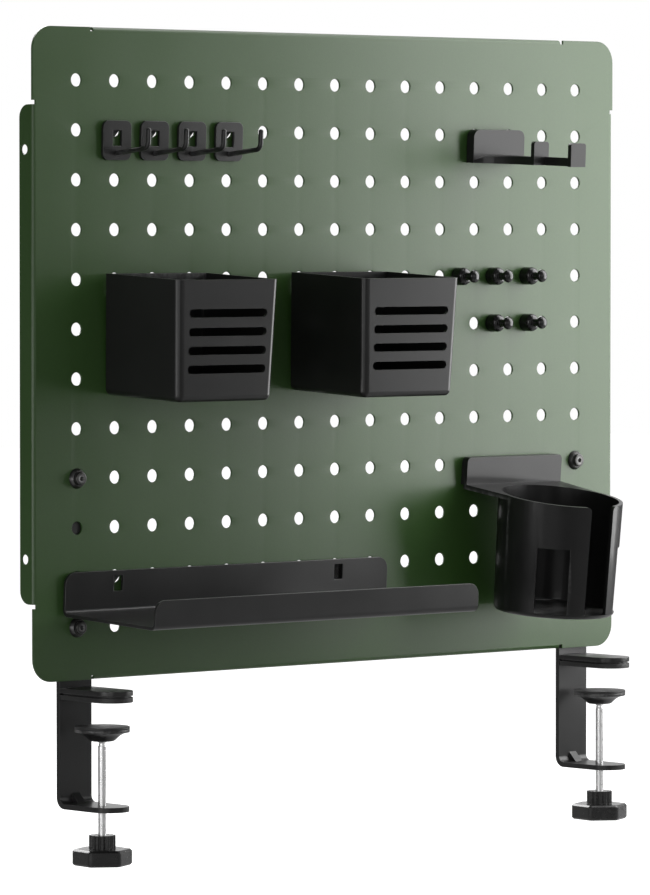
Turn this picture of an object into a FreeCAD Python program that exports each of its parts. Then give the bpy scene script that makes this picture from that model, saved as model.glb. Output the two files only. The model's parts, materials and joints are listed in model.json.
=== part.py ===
import FreeCAD, Part
import math
import os
import re

import Sketcher

# A pegboard desk organizer: a perforated sheet panel held upright behind a desk by two screw
# clamps, with hooks, a headphone hanger, two bins, a tray, a cup holder and magnetic pegs on it.
# Frame: X to the right, Y away from the user, Z up, in millimetres. The origin is on the desk's
# rear top edge, midway between the clamps, so the desk top is Z = 0 and its rear edge is Y = 0.

SIZES = {
    # Perforated panel, its four folded flanges and the holes in the two side ones.
    "hole_pitch": 30,
    "hole_wide": 8,
    "columns": 15,
    "rows": 12,
    "side_margin": 34,
    "end_margin": 32,
    "sheet": 1.5,
    "panel_round": 14,
    "panel_lift": 11.2,
    "flange_deep": 12.7,
    "side_flange_long": 300,
    "end_flange_long": 393,
    "flange_round": 8,
    "bend_round": 2.5,
    "notch_wide": 2.5,
    "flange_hole_wide": 6,
    "flange_hole_span": 246,
    "flange_hole_inset": 8.3,
    # Clamp bars, upper jaws and the rubber under the jaws.
    "bar_wide": 25,
    "bar_thick": 3.2,
    "bar_above": 12,
    "lip_drop": 62.8,
    "lip_reach": 43.3,
    "lip_bend": 3.8,
    "rib_wide": 6,
    "rib_leg": 6,
    "jaw_thick": 3,
    "jaw_reach": 46.8,
    "tenon_wide": 12,
    "tenon_play": 0.1,
    "rubber_thick": 3,
    "rubber_neck": 1,
    "rubber_inset": 1.2,
    "rubber_back": 0.5,
    "top_bolt_row": 9,
    "low_bolt_row": 12,
    # Clamp spindle, its ball joint, swivel pad and knob.
    "spindle_out": 24.8,
    "spindle_wide": 5,
    "thread_play": 0.1,
    "desk_thick": 15.1,
    "pad_wide": 33.4,
    "pad_facing": 1.5,
    "pad_rim": 2.2,
    "pad_step_wide": 29,
    "pad_step": 0.5,
    "pad_dish_wide": 19,
    "pad_dish": 1.3,
    "hub_top_wide": 17,
    "hub_top": 0.4,
    "hub_low_wide": 11,
    "hub_tall": 5.6,
    "ball_wide": 6.8,
    "ball_play": 0.35,
    "ball_below": 7.2,
    "spindle_long": 78.9,
    "knob_below": 73.8,
    "knob_tall": 9.9,
    "knob_corner": 18.5,
    "knob_round": 3,
    "knob_rim": 1.2,
    "knob_sides": 6,
    "knob_turn": 25.5,
    "knob_play": 0.05,
    "collar_tall": 8.3,
    "collar_wide": 14.4,
    "lobe_wide": 2.6,
    "lobe_out": 6.9,
    "lobe_count": 14,
    # Screws, shoulder washers and nuts between the panel and the bars.
    "bolt_wide": 4,
    "bolt_play": 0.15,
    "bolt_spare": 1,
    "bolt_head_wide": 8,
    "bolt_head_tall": 2,
    "bolt_head_bevel": 0.5,
    "socket_wide": 2.6,
    "socket_deep": 1.4,
    "washer_wide": 12.4,
    "washer_face_wide": 10,
    "washer_thick": 2.6,
    "shoulder_wide": 7.6,
    "nut_wide": 7,
    "nut_thick": 3.2,
    # Hanging: how every accessory stands off the panel and hooks through its holes.
    "hang_play": 0.2,
    "tongue_reach": 5,
    "steel_tongue_wide": 6,
    "steel_tongue_thick": 2,
    "steel_window_wide": 7,
    "steel_window_tall": 9.5,
    "peg_wide": 4.6,
    "peg_thick": 2.8,
    "peg_window_wide": 6,
    "peg_window_tall": 8,
    # Wire hooks.
    "hook_count": 4,
    "hook_first_column": 2,
    "hook_row": 2,
    "hook_slope": 45,
    "hook_tilt": 2,
    "hook_plate_wide": 22.1,
    "hook_plate_tall": 23.9,
    "hook_plate_thick": 2,
    "hook_plate_round": 4,
    "hook_above": 5.9,
    "hook_rod_wide": 3,
    "hook_rod_drop": 13.7,
    "hook_rod_out": 29,
    "hook_rod_rise": 7.7,
    "hook_rod_bend": 4.5,
    "hook_rod_tip": 12,
    # Headphone hanger.
    "hanger_column": 12.5,
    "hanger_row": 2,
    "hanger_slope": 45,
    "hanger_tilt": 2.4,
    "hanger_wide": 44.6,
    "hanger_tall": 21.2,
    "hanger_thick": 6.5,
    "hanger_round": 5,
    "hanger_above": 3.7,
    "hanger_long": 79,
    "arm_wide": 13,
    "arm_thick": 5.5,
    "arm_edge": 2,
    "arm_taper_long": 28.5,
    "tab_tall": 15,
    "tab_thick": 3,
    "tab_round": 2,
    "mid_tab_out": 45.5,
    # Bins.
    "bin_left_column": 3,
    "bin_right_column": 8,
    "bin_row": 5,
    "bin_slope": 15,
    "bin_tilt": 3,
    "bin_above": 3.5,
    "bin_top_wide": 80.5,
    "bin_low_wide": 74.8,
    "bin_deep": 67.5,
    "bin_tall": 73.5,
    "bin_wall": 2.2,
    "bin_corner": 4.5,
    "bin_edge": 4,
    "bin_slot_wide": 61.8,
    "bin_slot_tall": 5.06,
    "bin_slot_drop": 20.1,
    "bin_slot_pitch": 11.25,
    "bin_slot_count": 4,
    # Tray.
    "tray_column": 5,
    "tray_row": 11,
    "tray_slope": 45,
    "tray_tilt": 3,
    "tray_above": 3.7,
    "tray_long": 263,
    "tray_deep": 86.2,
    "tray_back_tall": 26.6,
    "tray_lip_tall": 18,
    "tray_sheet": 2,
    "tray_bend": 2,
    "tray_round": 7.5,
    # Cup holder.
    "cup_column": 13,
    "cup_row": 9,
    "cup_slope": 45,
    "cup_tilt": 5,
    "cup_above": 4.8,
    "cup_plate_wide": 83.7,
    "cup_plate_tall": 17.4,
    "cup_plate_thick": 5.2,
    "cup_plate_round": 3,
    "cup_web": 3,
    "cup_web_slope": 4,
    "cup_out": 48.8,
    "cup_rim_wide": 79.8,
    "cup_low_wide": 77,
    "cup_tall": 74.7,
    "cup_rim_drop": 2.8,
    "cup_wall": 2.5,
    "cup_edge": 3,
    "cup_slot_wide": 19,
    "cup_slot_round": 3,
    "cup_window_wide": 21,
    "cup_window_tall": 42,
    "cup_window_turn": 48,
    # Magnetic pegs.
    "magnet_wide": 8,
    "magnet_thick": 3,
    "magnet_play": 0.05,
    "magnet_peg_wide": 11.3,
    "magnet_body_long": 9,
    "magnet_groove": 0.5,
    "magnet_neck_wide": 5.4,
    "magnet_ball_wide": 8,
    "magnet_peg_long": 21,
    "magnet_first_column": 11.5,
    "magnet_row": 5,
    # How far a cutting sketch runs past what it cuts.
    "spare": 5,
}

WORKED_OUT = {
    "panel_wide": "(columns - 1) * hole_pitch + 2 * side_margin",
    "panel_tall": "(rows - 1) * hole_pitch + 2 * end_margin",
    "panel_middle": "panel_lift + panel_tall / 2",
    "clamp_apart": "(columns - 1) * hole_pitch",
    "bar_top": "panel_lift + end_margin + (rows - top_bolt_row) * hole_pitch + bar_above",
    "lip_low": "-(lip_drop + bar_thick)",
    "jaw_low": "rubber_thick + rubber_neck",
    "ball_centre": "-ball_below",
    "socket_reach": "ball_wide / 2 + ball_play",
    "collar_top": "collar_tall - knob_below",
    "knob_low": "-(knob_below + knob_tall)",
    "bolt_apart": "(low_bolt_row - top_bolt_row) * hole_pitch",
    "bolt_long": "washer_thick + sheet + bar_thick + nut_thick + bolt_spare",
    "hook_drop": "hook_plate_tall * cos(hook_tilt) - hook_above",
    "hanger_drop": "hanger_tall * cos(hanger_tilt) - hanger_above",
    "bin_drop": "bin_tall * cos(bin_tilt) - bin_above",
    "tray_drop": "tray_back_tall * cos(tray_tilt) - tray_above",
    "cup_drop": "cup_plate_tall * cos(cup_tilt) - cup_above",
    "arm_side": "(hanger_wide - arm_wide) / 2",
    "arm_curve": "(arm_side * arm_side + arm_taper_long * arm_taper_long) / (2 * arm_side)",
    "arm_fall": "arm_thick - arm_edge",
    "arm_crown": "(hanger_wide * hanger_wide / 4 + arm_fall * arm_fall) / (2 * arm_fall)",
    "cup_floor": "cup_wall - cup_tall - cup_rim_drop",
    "cup_past_wall": "max(cup_rim_wide; cup_low_wide) / 2 + spare",
}

ALL_ROUND = 360

# What the sizes of an accessory's tongues, and of any windows they are cut or cored from, are called.
STEEL = ("steel_tongue", "steel_window")
MOULDED = ("peg", "peg_window")
CLOSED = ("peg", None)

document = FreeCAD.newDocument("pegboard_organizer")
sheet = document.addObject("Spreadsheet::Sheet", "sizes")
for number, (size_name, size_value) in enumerate(SIZES.items(), start=1):
    sheet.set(f"A{number}", size_name)
    sheet.set(f"B{number}", str(size_value))
    sheet.setAlias(f"B{number}", size_name)
document.recompute()

nodes = []


# ---- Formulas -------------------------------------------------------------------------------

def tied(formula):
    """A formula written with size names, as an expression that reads them from the sheet."""
    def look_up(found):
        word = found.group(0)
        if word in WORKED_OUT:
            return f"({tied(WORKED_OUT[word])})"
        return f"sizes.{word}" if word in SIZES else word
    return re.sub(r"[a-z_]+", look_up, str(formula))


def worth(formula):
    """What a formula comes to now, as a plain number."""
    return float(sheet.evalExpression(tied(formula)))


def bind(item, path, formula):
    """Ties one of an object's values to a formula."""
    item.setExpression(path, tied(formula))


def at_column(column):
    """X of a hole column, counted from 1 at the left."""
    return f"({column} - (columns + 1) / 2) * hole_pitch"


def at_row(row):
    """Z of a hole row, counted from 1 at the top."""
    return f"(panel_lift + end_margin + (rows - {row}) * hole_pitch)"


# ---- Bodies and sketches --------------------------------------------------------------------

def new_body(name, x="0", y="0", z="0", tilt=None):
    """An empty body with its origin at x, y, z, tipped forward by tilt degrees."""
    body = document.addObject("PartDesign::Body", name)
    body.Label = name
    if tilt:
        body.Placement.Rotation = FreeCAD.Rotation(FreeCAD.Vector(1, 0, 0), worth(tilt))
        bind(body, "Placement.Rotation.Angle", tilt)
    for axis, formula in zip("xyz", (x, y, z)):
        bind(body, f"Placement.Base.{axis}", formula)
    nodes.append(body)
    return body


def origin_part(body, role):
    """A plane or axis of the body's own origin."""
    return next(item for item in body.Origin.OriginFeatures if item.Role == role)


def new_sketch(body, plane, shift=("0", "0", "0"), turn=None, turn_axis=(0, 1, 0)):
    """An empty sketch on an origin plane, shifted and turned in that plane's own axes."""
    sketch = body.newObject("Sketcher::SketchObject", f"{body.Name}_sketch")
    sketch.AttachmentSupport = [(origin_part(body, plane), "")]
    sketch.MapMode = "FlatFace"
    if turn:
        rotation = FreeCAD.Rotation(FreeCAD.Vector(*turn_axis), worth(turn))
        sketch.AttachmentOffset = FreeCAD.Placement(FreeCAD.Vector(), rotation)
        bind(sketch, "AttachmentOffset.Rotation.Angle", turn)
    for axis, formula in zip("xyz", shift):
        bind(sketch, f"AttachmentOffset.Base.{axis}", formula)
    return sketch


def constrain(sketch, kind, where, formula):
    """One dimension of the sketch, tied to a formula."""
    index = sketch.addConstraint(Sketcher.Constraint(kind, *where, worth(formula)))
    bind(sketch, f"Constraints[{index}]", formula)


def sketch_point(corner):
    return FreeCAD.Vector(worth(corner[0]), worth(corner[1]), 0)


def add_arc(sketch, start, finish, centre, anticlockwise):
    """An arc from start to finish, with the numbers of its two ends in the path's order."""
    circle = Part.Circle(centre, FreeCAD.Vector(0, 0, 1), (finish - centre).Length)
    first, last = (start, finish) if anticlockwise else (finish, start)
    angles = [math.atan2(end.y - centre.y, end.x - centre.x) for end in (first, last)]
    arc = sketch.addGeometry(Part.ArcOfCircle(circle, *angles))
    return (arc, 1, 2) if anticlockwise else (arc, 2, 1)


def draw(sketch, corners, closed):
    """Draws a path through the corners. A corner is (x, y) for a straight side that ends there,
    or (x, y, centre x, centre y, anticlockwise) for an arc that does."""
    sides = []
    for index in range(0 if closed else 1, len(corners)):
        corner = corners[index]
        start, finish = sketch_point(corners[index - 1]), sketch_point(corner)
        if len(corner) == 2:
            sides.append((sketch.addGeometry(Part.LineSegment(start, finish)), 1, 2))
            continue
        centre = sketch_point(corner[2:4])
        sides.append(add_arc(sketch, start, finish, centre, corner[4]))
        level = abs(finish.x - start.x) > abs(finish.y - start.y)
        kind, formula = ("DistanceY", corner[3]) if level else ("DistanceX", corner[2])
        constrain(sketch, kind, (sides[-1][0], 3), formula)
    joints = list(zip(sides[-1:] + sides[:-1], sides))
    for before, after in joints if closed else joints[1:]:
        sketch.addConstraint(Sketcher.Constraint("Coincident", after[0], after[1], before[0], before[2]))
    for (side, _, end), corner in zip(sides[::-1], corners[::-1]):
        constrain(sketch, "DistanceX", (side, end), corner[0])
        constrain(sketch, "DistanceY", (side, end), corner[1])
    if not closed:
        constrain(sketch, "DistanceX", sides[0][:2], corners[0][0])
        constrain(sketch, "DistanceY", sides[0][:2], corners[0][1])


def outline(sketch, corners):
    draw(sketch, corners, closed=True)


def rectangle(sketch, left, right, low, high):
    outline(sketch, [(left, low), (right, low), (right, high), (left, high)])


def circle(sketch, x, y, wide):
    """A circle of a given diameter."""
    centre = FreeCAD.Vector(worth(x), worth(y), 0)
    ring = sketch.addGeometry(Part.Circle(centre, FreeCAD.Vector(0, 0, 1), worth(wide) / 2))
    constrain(sketch, "DistanceX", (ring, 3), x)
    constrain(sketch, "DistanceY", (ring, 3), y)
    constrain(sketch, "Diameter", (ring,), wide)


def polygon(sketch, sides, reach, turn="0"):
    """A regular polygon about the sketch's origin."""
    angles = [f"({turn} + {side} * 360 / {sides})" for side in range(round(worth(sides)))]
    outline(sketch, [(f"{reach} * cos({angle})", f"{reach} * sin({angle})") for angle in angles])


def round_end(sketch, wide, back, reach):
    """A plate's plan: square at the back, and a half circle at its tip, reach out along -Y."""
    half, centre = f"{wide} / 2", f"-({reach} - {wide} / 2)"
    outline(sketch, [(f"-{half}", back), (f"-{half}", centre),
                     (half, centre, "0", centre, True), (half, back)])


# ---- Features -------------------------------------------------------------------------------

def extrude(kind, body, sketch, length, both, reverse):
    feature = body.newObject(f"PartDesign::{kind}", f"{body.Name}_{kind}")
    feature.Profile = sketch
    feature.SideType = "Symmetric" if both else "One side"
    feature.Reversed = reverse
    bind(feature, "Length", length)
    sketch.Visibility = False
    return feature


def pad(body, sketch, length, both=False, reverse=False):
    return extrude("Pad", body, sketch, length, both, reverse)


def pocket(body, sketch, length, both=False, reverse=False):
    return extrude("Pocket", body, sketch, length, both, reverse)


def turned(kind, body, sketch):
    """A Revolution or Groove: the sketch's outline turned about its own upright axis."""
    feature = body.newObject(f"PartDesign::{kind}", f"{body.Name}_{kind}")
    feature.Profile = sketch
    feature.ReferenceAxis = (sketch, ["V_Axis"])
    feature.Angle = ALL_ROUND
    return feature


def edge_names(feature, wanted):
    """The names of the feature's edges that pass a test."""
    document.recompute()
    return [f"Edge{number}" for number, edge in enumerate(feature.Shape.Edges, start=1)
            if wanted(edge)]


def runs_along(edge, axis):
    """Whether an edge is straight and, within its own slope, runs along x, y or z."""
    if edge.Curve.TypeId != "Part::GeomLine":
        return False
    box = edge.BoundBox
    spans = {"x": box.XLength, "y": box.YLength, "z": box.ZLength}
    return max(spans, key=spans.get) == axis


def near(value, formula):
    return abs(value - worth(formula)) < 0.01


def fillet(body, feature, wanted, radius):
    """Rounds the edges of the feature that pass a test."""
    rounding = body.newObject("PartDesign::Fillet", f"{body.Name}_Fillet")
    rounding.Base = (feature, edge_names(feature, wanted))
    bind(rounding, "Radius", radius)
    return rounding


def chamfer(body, feature, wanted, size):
    """Bevels the edges of the feature that pass a test."""
    bevel = body.newObject("PartDesign::Chamfer", f"{body.Name}_Chamfer")
    bevel.Base = (feature, edge_names(feature, wanted))
    bind(bevel, "Size", size)
    return bevel


def repeat(body, features, along, length, count, and_along=None, and_length="0", and_count="1"):
    """Copies features in a row, or in a grid where a second direction is given."""
    pattern = body.newObject("PartDesign::LinearPattern", f"{body.Name}_row")
    pattern.Originals = features
    pattern.Direction = (origin_part(body, along), [""])
    bind(pattern, "Length", length)
    bind(pattern, "Occurrences", count)
    if and_along:
        pattern.Direction2 = (origin_part(body, and_along), [""])
        bind(pattern, "Length2", and_length)
        bind(pattern, "Occurrences2", and_count)
    body.Tip = pattern
    return pattern


def mirror(body, features, plane):
    """Adds the mirror image of features across an origin plane."""
    pattern = body.newObject("PartDesign::Mirrored", f"{body.Name}_mirror")
    pattern.Originals = features
    pattern.MirrorPlane = (origin_part(body, plane), [""])
    body.Tip = pattern
    return pattern


# ---- Panel ----------------------------------------------------------------------------------

def folded_flange(body, plane, half, long):
    """One flange: the bend and its leg, standing back from the panel's edge."""
    corners = [
        (f"{half} - bend_round", "-sheet"),
        (half, "bend_round - sheet", f"{half} - bend_round", "bend_round - sheet", True),
        (half, "flange_deep - sheet"),
        (f"{half} - sheet", "flange_deep - sheet"),
        (f"{half} - sheet", "bend_round - sheet"),
        (f"{half} - bend_round", "0", f"{half} - bend_round", "bend_round - sheet", False),
    ]
    if plane == "YZ_Plane":
        corners = [(c[1], c[0]) + ((c[3], c[2], not c[4]) if len(c) > 2 else ()) for c in corners]
    sketch = new_sketch(body, plane)
    outline(sketch, corners)
    return pad(body, sketch, long, both=True)


def make_panel():
    """The sheet: a rounded plate whose four edges fold back, with a grid of round holes."""
    body = new_body("pegboard_panel", z="panel_middle")
    plate = new_sketch(body, "XZ_Plane")
    rectangle(plate, "-panel_wide / 2", "panel_wide / 2", "-panel_tall / 2", "panel_tall / 2")
    blank = pad(body, plate, "sheet")
    blank = fillet(body, blank, lambda edge: runs_along(edge, "y"), "panel_round")

    relief = new_sketch(body, "XZ_Plane", ("0", "0", "-spare"))
    for sign in ("-", ""):
        half_long = "(side_flange_long / 2 + notch_wide)"
        rectangle(relief, f"{sign}(panel_wide / 2 - bend_round)", f"{sign}(panel_wide / 2 + spare)",
                  f"-{half_long}", half_long)
        half_long = "(end_flange_long / 2 + notch_wide)"
        rectangle(relief, f"-{half_long}", half_long, f"{sign}(panel_tall / 2 - bend_round)",
                  f"{sign}(panel_tall / 2 + spare)")
    pocket(body, relief, "sheet + 2 * spare", reverse=True)

    side = folded_flange(body, "XY_Plane", "panel_wide / 2", "side_flange_long")
    mirror(body, [side], "YZ_Plane")
    end = folded_flange(body, "YZ_Plane", "panel_tall / 2", "end_flange_long")
    folded = mirror(body, [end], "XY_Plane")

    def flange_corner(edge):
        box = edge.BoundBox
        across = near(abs(box.ZMin), "side_flange_long / 2") or near(abs(box.XMin), "end_flange_long / 2")
        return near(box.YMin, "flange_deep - sheet") and near(box.DiagonalLength, "sheet") and across

    fillet(body, folded, flange_corner, "flange_round")

    side_holes = new_sketch(body, "YZ_Plane")
    for sign in ("-", ""):
        circle(side_holes, "flange_hole_inset - sheet", f"{sign}flange_hole_span / 2", "flange_hole_wide")
    pocket(body, side_holes, "panel_wide + spare", both=True)

    hole = new_sketch(body, "XZ_Plane", ("0", "0", "-spare"))
    circle(hole, at_column(1), "-(rows - 1) * hole_pitch / 2", "hole_wide")
    first = pocket(body, hole, "sheet + 2 * spare", reverse=True)
    repeat(body, [first], "X_Axis", "(columns - 1) * hole_pitch", "columns",
           "Z_Axis", "(rows - 1) * hole_pitch", "rows")


# ---- Clamps ---------------------------------------------------------------------------------

def make_clamp_bar(side, x):
    """An upright flat bar bent forward into a round-ended lip, with a rib pressed in the bend."""
    body = new_body(f"clamp_bar_{side}", x=x)
    upright = new_sketch(body, "XZ_Plane")
    rectangle(upright, "-bar_wide / 2", "bar_wide / 2", "lip_low", "bar_top")
    pad(body, upright, "bar_thick", reverse=True)
    lip = new_sketch(body, "XY_Plane", ("0", "0", "lip_low"))
    round_end(lip, "bar_wide", "bar_thick", "lip_reach")
    bent = pad(body, lip, "bar_thick")

    def inner(edge):
        box = edge.BoundBox
        return runs_along(edge, "x") and near(box.YMax, "0") and near(box.ZMax, "-lip_drop")

    def outer(edge):
        box = edge.BoundBox
        return runs_along(edge, "x") and near(box.YMax, "bar_thick") and near(box.ZMax, "lip_low")

    bent = fillet(body, bent, inner, "lip_bend")
    fillet(body, bent, outer, "lip_bend + bar_thick")
    rib = new_sketch(body, "YZ_Plane")
    outline(rib, [("bar_thick / 2", "-lip_drop - bar_thick / 2"), ("bar_thick / 2", "rib_leg - lip_drop"),
                  ("0", "rib_leg - lip_drop"), ("-rib_leg", "-lip_drop"),
                  ("-rib_leg", "-lip_drop - bar_thick / 2")])
    pad(body, rib, "rib_wide", both=True)

    thread = new_sketch(body, "XY_Plane", ("0", "0", "lip_low"))
    circle(thread, "0", "-spindle_out", "spindle_wide + 2 * thread_play")
    pocket(body, thread, "bar_thick", reverse=True)
    openings = new_sketch(body, "XZ_Plane")
    for row in ("top_bolt_row", "low_bolt_row"):
        circle(openings, "0", at_row(row), "bolt_wide + 2 * bolt_play")
    rectangle(openings, "-(tenon_wide / 2 + tenon_play)", "tenon_wide / 2 + tenon_play",
              "jaw_low - tenon_play", "jaw_low + jaw_thick + tenon_play")
    pocket(body, openings, "bar_thick")


def make_clamp_jaw(side, x):
    """The upper jaw: a round-ended plate whose tenon goes through the bar."""
    body = new_body(f"clamp_jaw_{side}", x=x, z="jaw_low")
    plate = new_sketch(body, "XY_Plane")
    round_end(plate, "bar_wide", "0", "jaw_reach")
    pad(body, plate, "jaw_thick")
    tenon = new_sketch(body, "XY_Plane")
    rectangle(tenon, "-tenon_wide / 2", "tenon_wide / 2", "-rubber_back", "bar_thick")
    pad(body, tenon, "jaw_thick")


def make_jaw_pad(side, x):
    """The rubber under the jaw: a foot on the desk and a slightly smaller neck above it."""
    body = new_body(f"jaw_pad_{side}", x=x)
    foot = new_sketch(body, "XY_Plane")
    round_end(foot, "bar_wide", "-rubber_back", "jaw_reach")
    pad(body, foot, "rubber_thick")
    neck = new_sketch(body, "XY_Plane", ("0", "0", "rubber_thick"))
    round_end(neck, "(bar_wide - 2 * rubber_inset)", "-(rubber_back + rubber_inset)",
              "(jaw_reach - rubber_inset)")
    pad(body, neck, "rubber_neck")


def spindle_body(name, x):
    """A body on the spindle's axis, with its origin on the pad's pressing face."""
    return new_body(name, x=x, y="-spindle_out", z="-desk_thick")


def make_pad_facing(side, x):
    body = spindle_body(f"pad_facing_{side}", x)
    disc = new_sketch(body, "XY_Plane")
    circle(disc, "0", "0", "pad_wide")
    pad(body, disc, "pad_facing", reverse=True)


def make_swivel_pad(side, x):
    """The pad that presses on the desk: a dished disc with a hub that holds the ball."""
    body = spindle_body(f"swivel_pad_{side}", x)
    neck = "(spindle_wide / 2 + ball_play)"
    rim = "(pad_facing + pad_rim)"
    dish = f"({rim} + pad_step + pad_dish)"
    hub = f"({dish} + hub_top)"
    section = new_sketch(body, "XZ_Plane")
    outline(section, [
        ("0", "-pad_facing"),
        ("pad_wide / 2", "-pad_facing"),
        ("pad_wide / 2", f"-{rim}"),
        ("pad_step_wide / 2", f"-({rim} + pad_step)"),
        ("pad_dish_wide / 2", f"-{dish}"),
        ("hub_top_wide / 2", f"-{hub}"),
        ("hub_low_wide / 2", f"-({hub} + hub_tall)"),
        (neck, f"-({hub} + hub_tall)"),
        (neck, f"ball_centre - sqrt(socket_reach * socket_reach - {neck} * {neck})"),
        ("0", "ball_centre + socket_reach", "0", "ball_centre", True),
    ])
    turned("Revolution", body, section)


def make_clamp_screw(side, x):
    """The spindle, a threaded rod with a ball at its upper end."""
    body = spindle_body(f"clamp_screw_{side}", x)
    section = new_sketch(body, "XZ_Plane")
    outline(section, [
        ("0", "-spindle_long"),
        ("spindle_wide / 2", "-spindle_long"),
        ("spindle_wide / 2", "ball_centre - sqrt(ball_wide * ball_wide - spindle_wide * spindle_wide) / 2"),
        ("0", "ball_centre + ball_wide / 2", "0", "ball_centre", True),
    ])
    turned("Revolution", body, section)


def make_screw_knob(side, x):
    """The hand knob: a rounded hexagon under a fluted collar."""
    body = spindle_body(f"screw_knob_{side}", x)
    grip = new_sketch(body, "XY_Plane", ("0", "0", "knob_low"))
    polygon(grip, "knob_sides", "knob_corner", "knob_turn")
    block = pad(body, grip, "knob_tall")
    block = fillet(body, block, lambda edge: runs_along(edge, "z"), "knob_round")
    chamfer(body, block, lambda edge: edge.BoundBox.ZLength < 0.01, "knob_rim")
    collar = new_sketch(body, "XY_Plane", ("0", "0", "-knob_below"))
    circle(collar, "0", "0", "collar_wide")
    pad(body, collar, "collar_tall")
    lobe = new_sketch(body, "XY_Plane", ("0", "0", "-knob_below"))
    circle(lobe, "lobe_out", "0", "lobe_wide")
    first = pad(body, lobe, "collar_tall")
    document.recompute()
    lobes = body.newObject("PartDesign::PolarPattern", f"{body.Name}_lobes")
    lobes.Originals = [first]
    lobes.Axis = (origin_part(body, "Z_Axis"), [""])
    lobes.Angle = ALL_ROUND
    bind(lobes, "Occurrences", "lobe_count")
    body.Tip = lobes
    bore = new_sketch(body, "XY_Plane", ("0", "0", "collar_top"))
    circle(bore, "0", "0", "spindle_wide + 2 * knob_play")
    pocket(body, bore, "spindle_long + collar_top")


# ---- Fasteners ------------------------------------------------------------------------------

def fastener_body(name):
    """A body on the lower left fastener's axis, with its origin on the panel's front face."""
    return new_body(name, x="-clamp_apart / 2", y="-sheet", z=at_row("low_bolt_row"))


def at_each_bolt(body, features):
    """Copies features to the four places where the panel is screwed to the bars."""
    repeat(body, features, "X_Axis", "clamp_apart", "2", "Z_Axis", "bolt_apart", "2")


def make_panel_screws():
    """Socket screws, head first, through washer, panel, bar and nut."""
    body = fastener_body("panel_screws")
    head = "(washer_thick + bolt_head_tall)"
    section = new_sketch(body, "XY_Plane")
    outline(section, [
        ("0", f"-{head}"),
        ("bolt_head_wide / 2 - bolt_head_bevel", f"-{head}"),
        ("bolt_head_wide / 2", f"bolt_head_bevel - {head}"),
        ("bolt_head_wide / 2", "-washer_thick"),
        ("bolt_wide / 2", "-washer_thick"),
        ("bolt_wide / 2", "bolt_long - washer_thick"),
        ("0", "bolt_long - washer_thick"),
    ])
    screw = turned("Revolution", body, section)
    hexagon = new_sketch(body, "XZ_Plane", ("0", "0", head))
    polygon(hexagon, "6", "socket_wide / sqrt(3)")
    socket = pocket(body, hexagon, "socket_deep")
    at_each_bolt(body, [screw, socket])


def make_panel_washers():
    """Tapered washers whose shoulder fills the panel's hole."""
    body = fastener_body("panel_washers")
    section = new_sketch(body, "XY_Plane")
    outline(section, [
        ("bolt_wide / 2 + bolt_play", "-washer_thick"),
        ("washer_face_wide / 2", "-washer_thick"),
        ("washer_wide / 2", "0"),
        ("shoulder_wide / 2", "0"),
        ("shoulder_wide / 2", "sheet"),
        ("bolt_wide / 2 + bolt_play", "sheet"),
    ])
    at_each_bolt(body, [turned("Revolution", body, section)])


def make_panel_nuts():
    body = fastener_body("panel_nuts")
    hexagon = new_sketch(body, "XZ_Plane", ("0", "0", "-(sheet + bar_thick)"))
    polygon(hexagon, "6", "nut_wide / sqrt(3)")
    circle(hexagon, "0", "0", "bolt_wide + 2 * bolt_play")
    at_each_bolt(body, [pad(body, hexagon, "nut_thick", reverse=True)])


# ---- Hanging accessories --------------------------------------------------------------------

def hanging_body(name, kind, column, row):
    """A body whose origin is the accessory's lower back edge, which rests on the panel."""
    return new_body(name, x=at_column(column), y="-(sheet + hang_play)",
                    z=f"{at_row(row)} - {kind}_drop", tilt=f"{kind}_tilt")


def add_tongues(body, kind, make, plate, span="0", count="1"):
    """Sets tongues in the back plate, each in a window where it has one, slanting back and down
    through a hole of the panel. The tongue is centred in the hole, halfway through the sheet."""
    tongue, opening = make
    tilt, slope, off = f"{kind}_tilt", f"{kind}_slope", "(sheet / 2 + hang_play)"
    hole_y = f"({off} * cos({tilt}) + {kind}_drop * sin({tilt}))"
    hole_z = f"({kind}_drop * cos({tilt}) - {off} * sin({tilt}))"
    root = f"({hole_z} + {hole_y} * tan({slope}))"
    half_upright = f"({tongue}_thick / 2 / cos({slope}))"
    run = "(sheet / 2 + tongue_reach)"
    tip_y, tip_z = f"({hole_y} + {run})", f"({hole_z} - {run} * tan({slope}))"
    aside, along = f"{tongue}_thick / 2 * sin({slope})", f"{tongue}_thick / 2 * cos({slope})"
    first = f"-{span} / 2"

    if opening:
        window = new_sketch(body, "XZ_Plane", ("0", "0", "-spare"))
        rectangle(window, f"{first} - {opening}_wide / 2", f"{first} + {opening}_wide / 2",
                  f"{root} - {half_upright} - {opening}_tall", f"{root} - {half_upright}")
        repeat(body, [pocket(body, window, f"{plate} + 2 * spare", reverse=True)],
               "X_Axis", span, count)
    slant = new_sketch(body, "YZ_Plane", ("0", "0", first))
    outline(slant, [
        ("0", f"{root} + {half_upright}"),
        (f"-{plate}", f"{root} + {half_upright}"),
        (f"-{plate}", f"{root} - {half_upright}"),
        ("0", f"{root} - {half_upright}"),
        (f"{tip_y} - {aside}", f"{tip_z} - {along}"),
        (f"{tip_y} + {aside}", f"{tip_z} + {along}"),
    ])
    return repeat(body, [pad(body, slant, f"{tongue}_wide", both=True)], "X_Axis", span, count)


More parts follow.
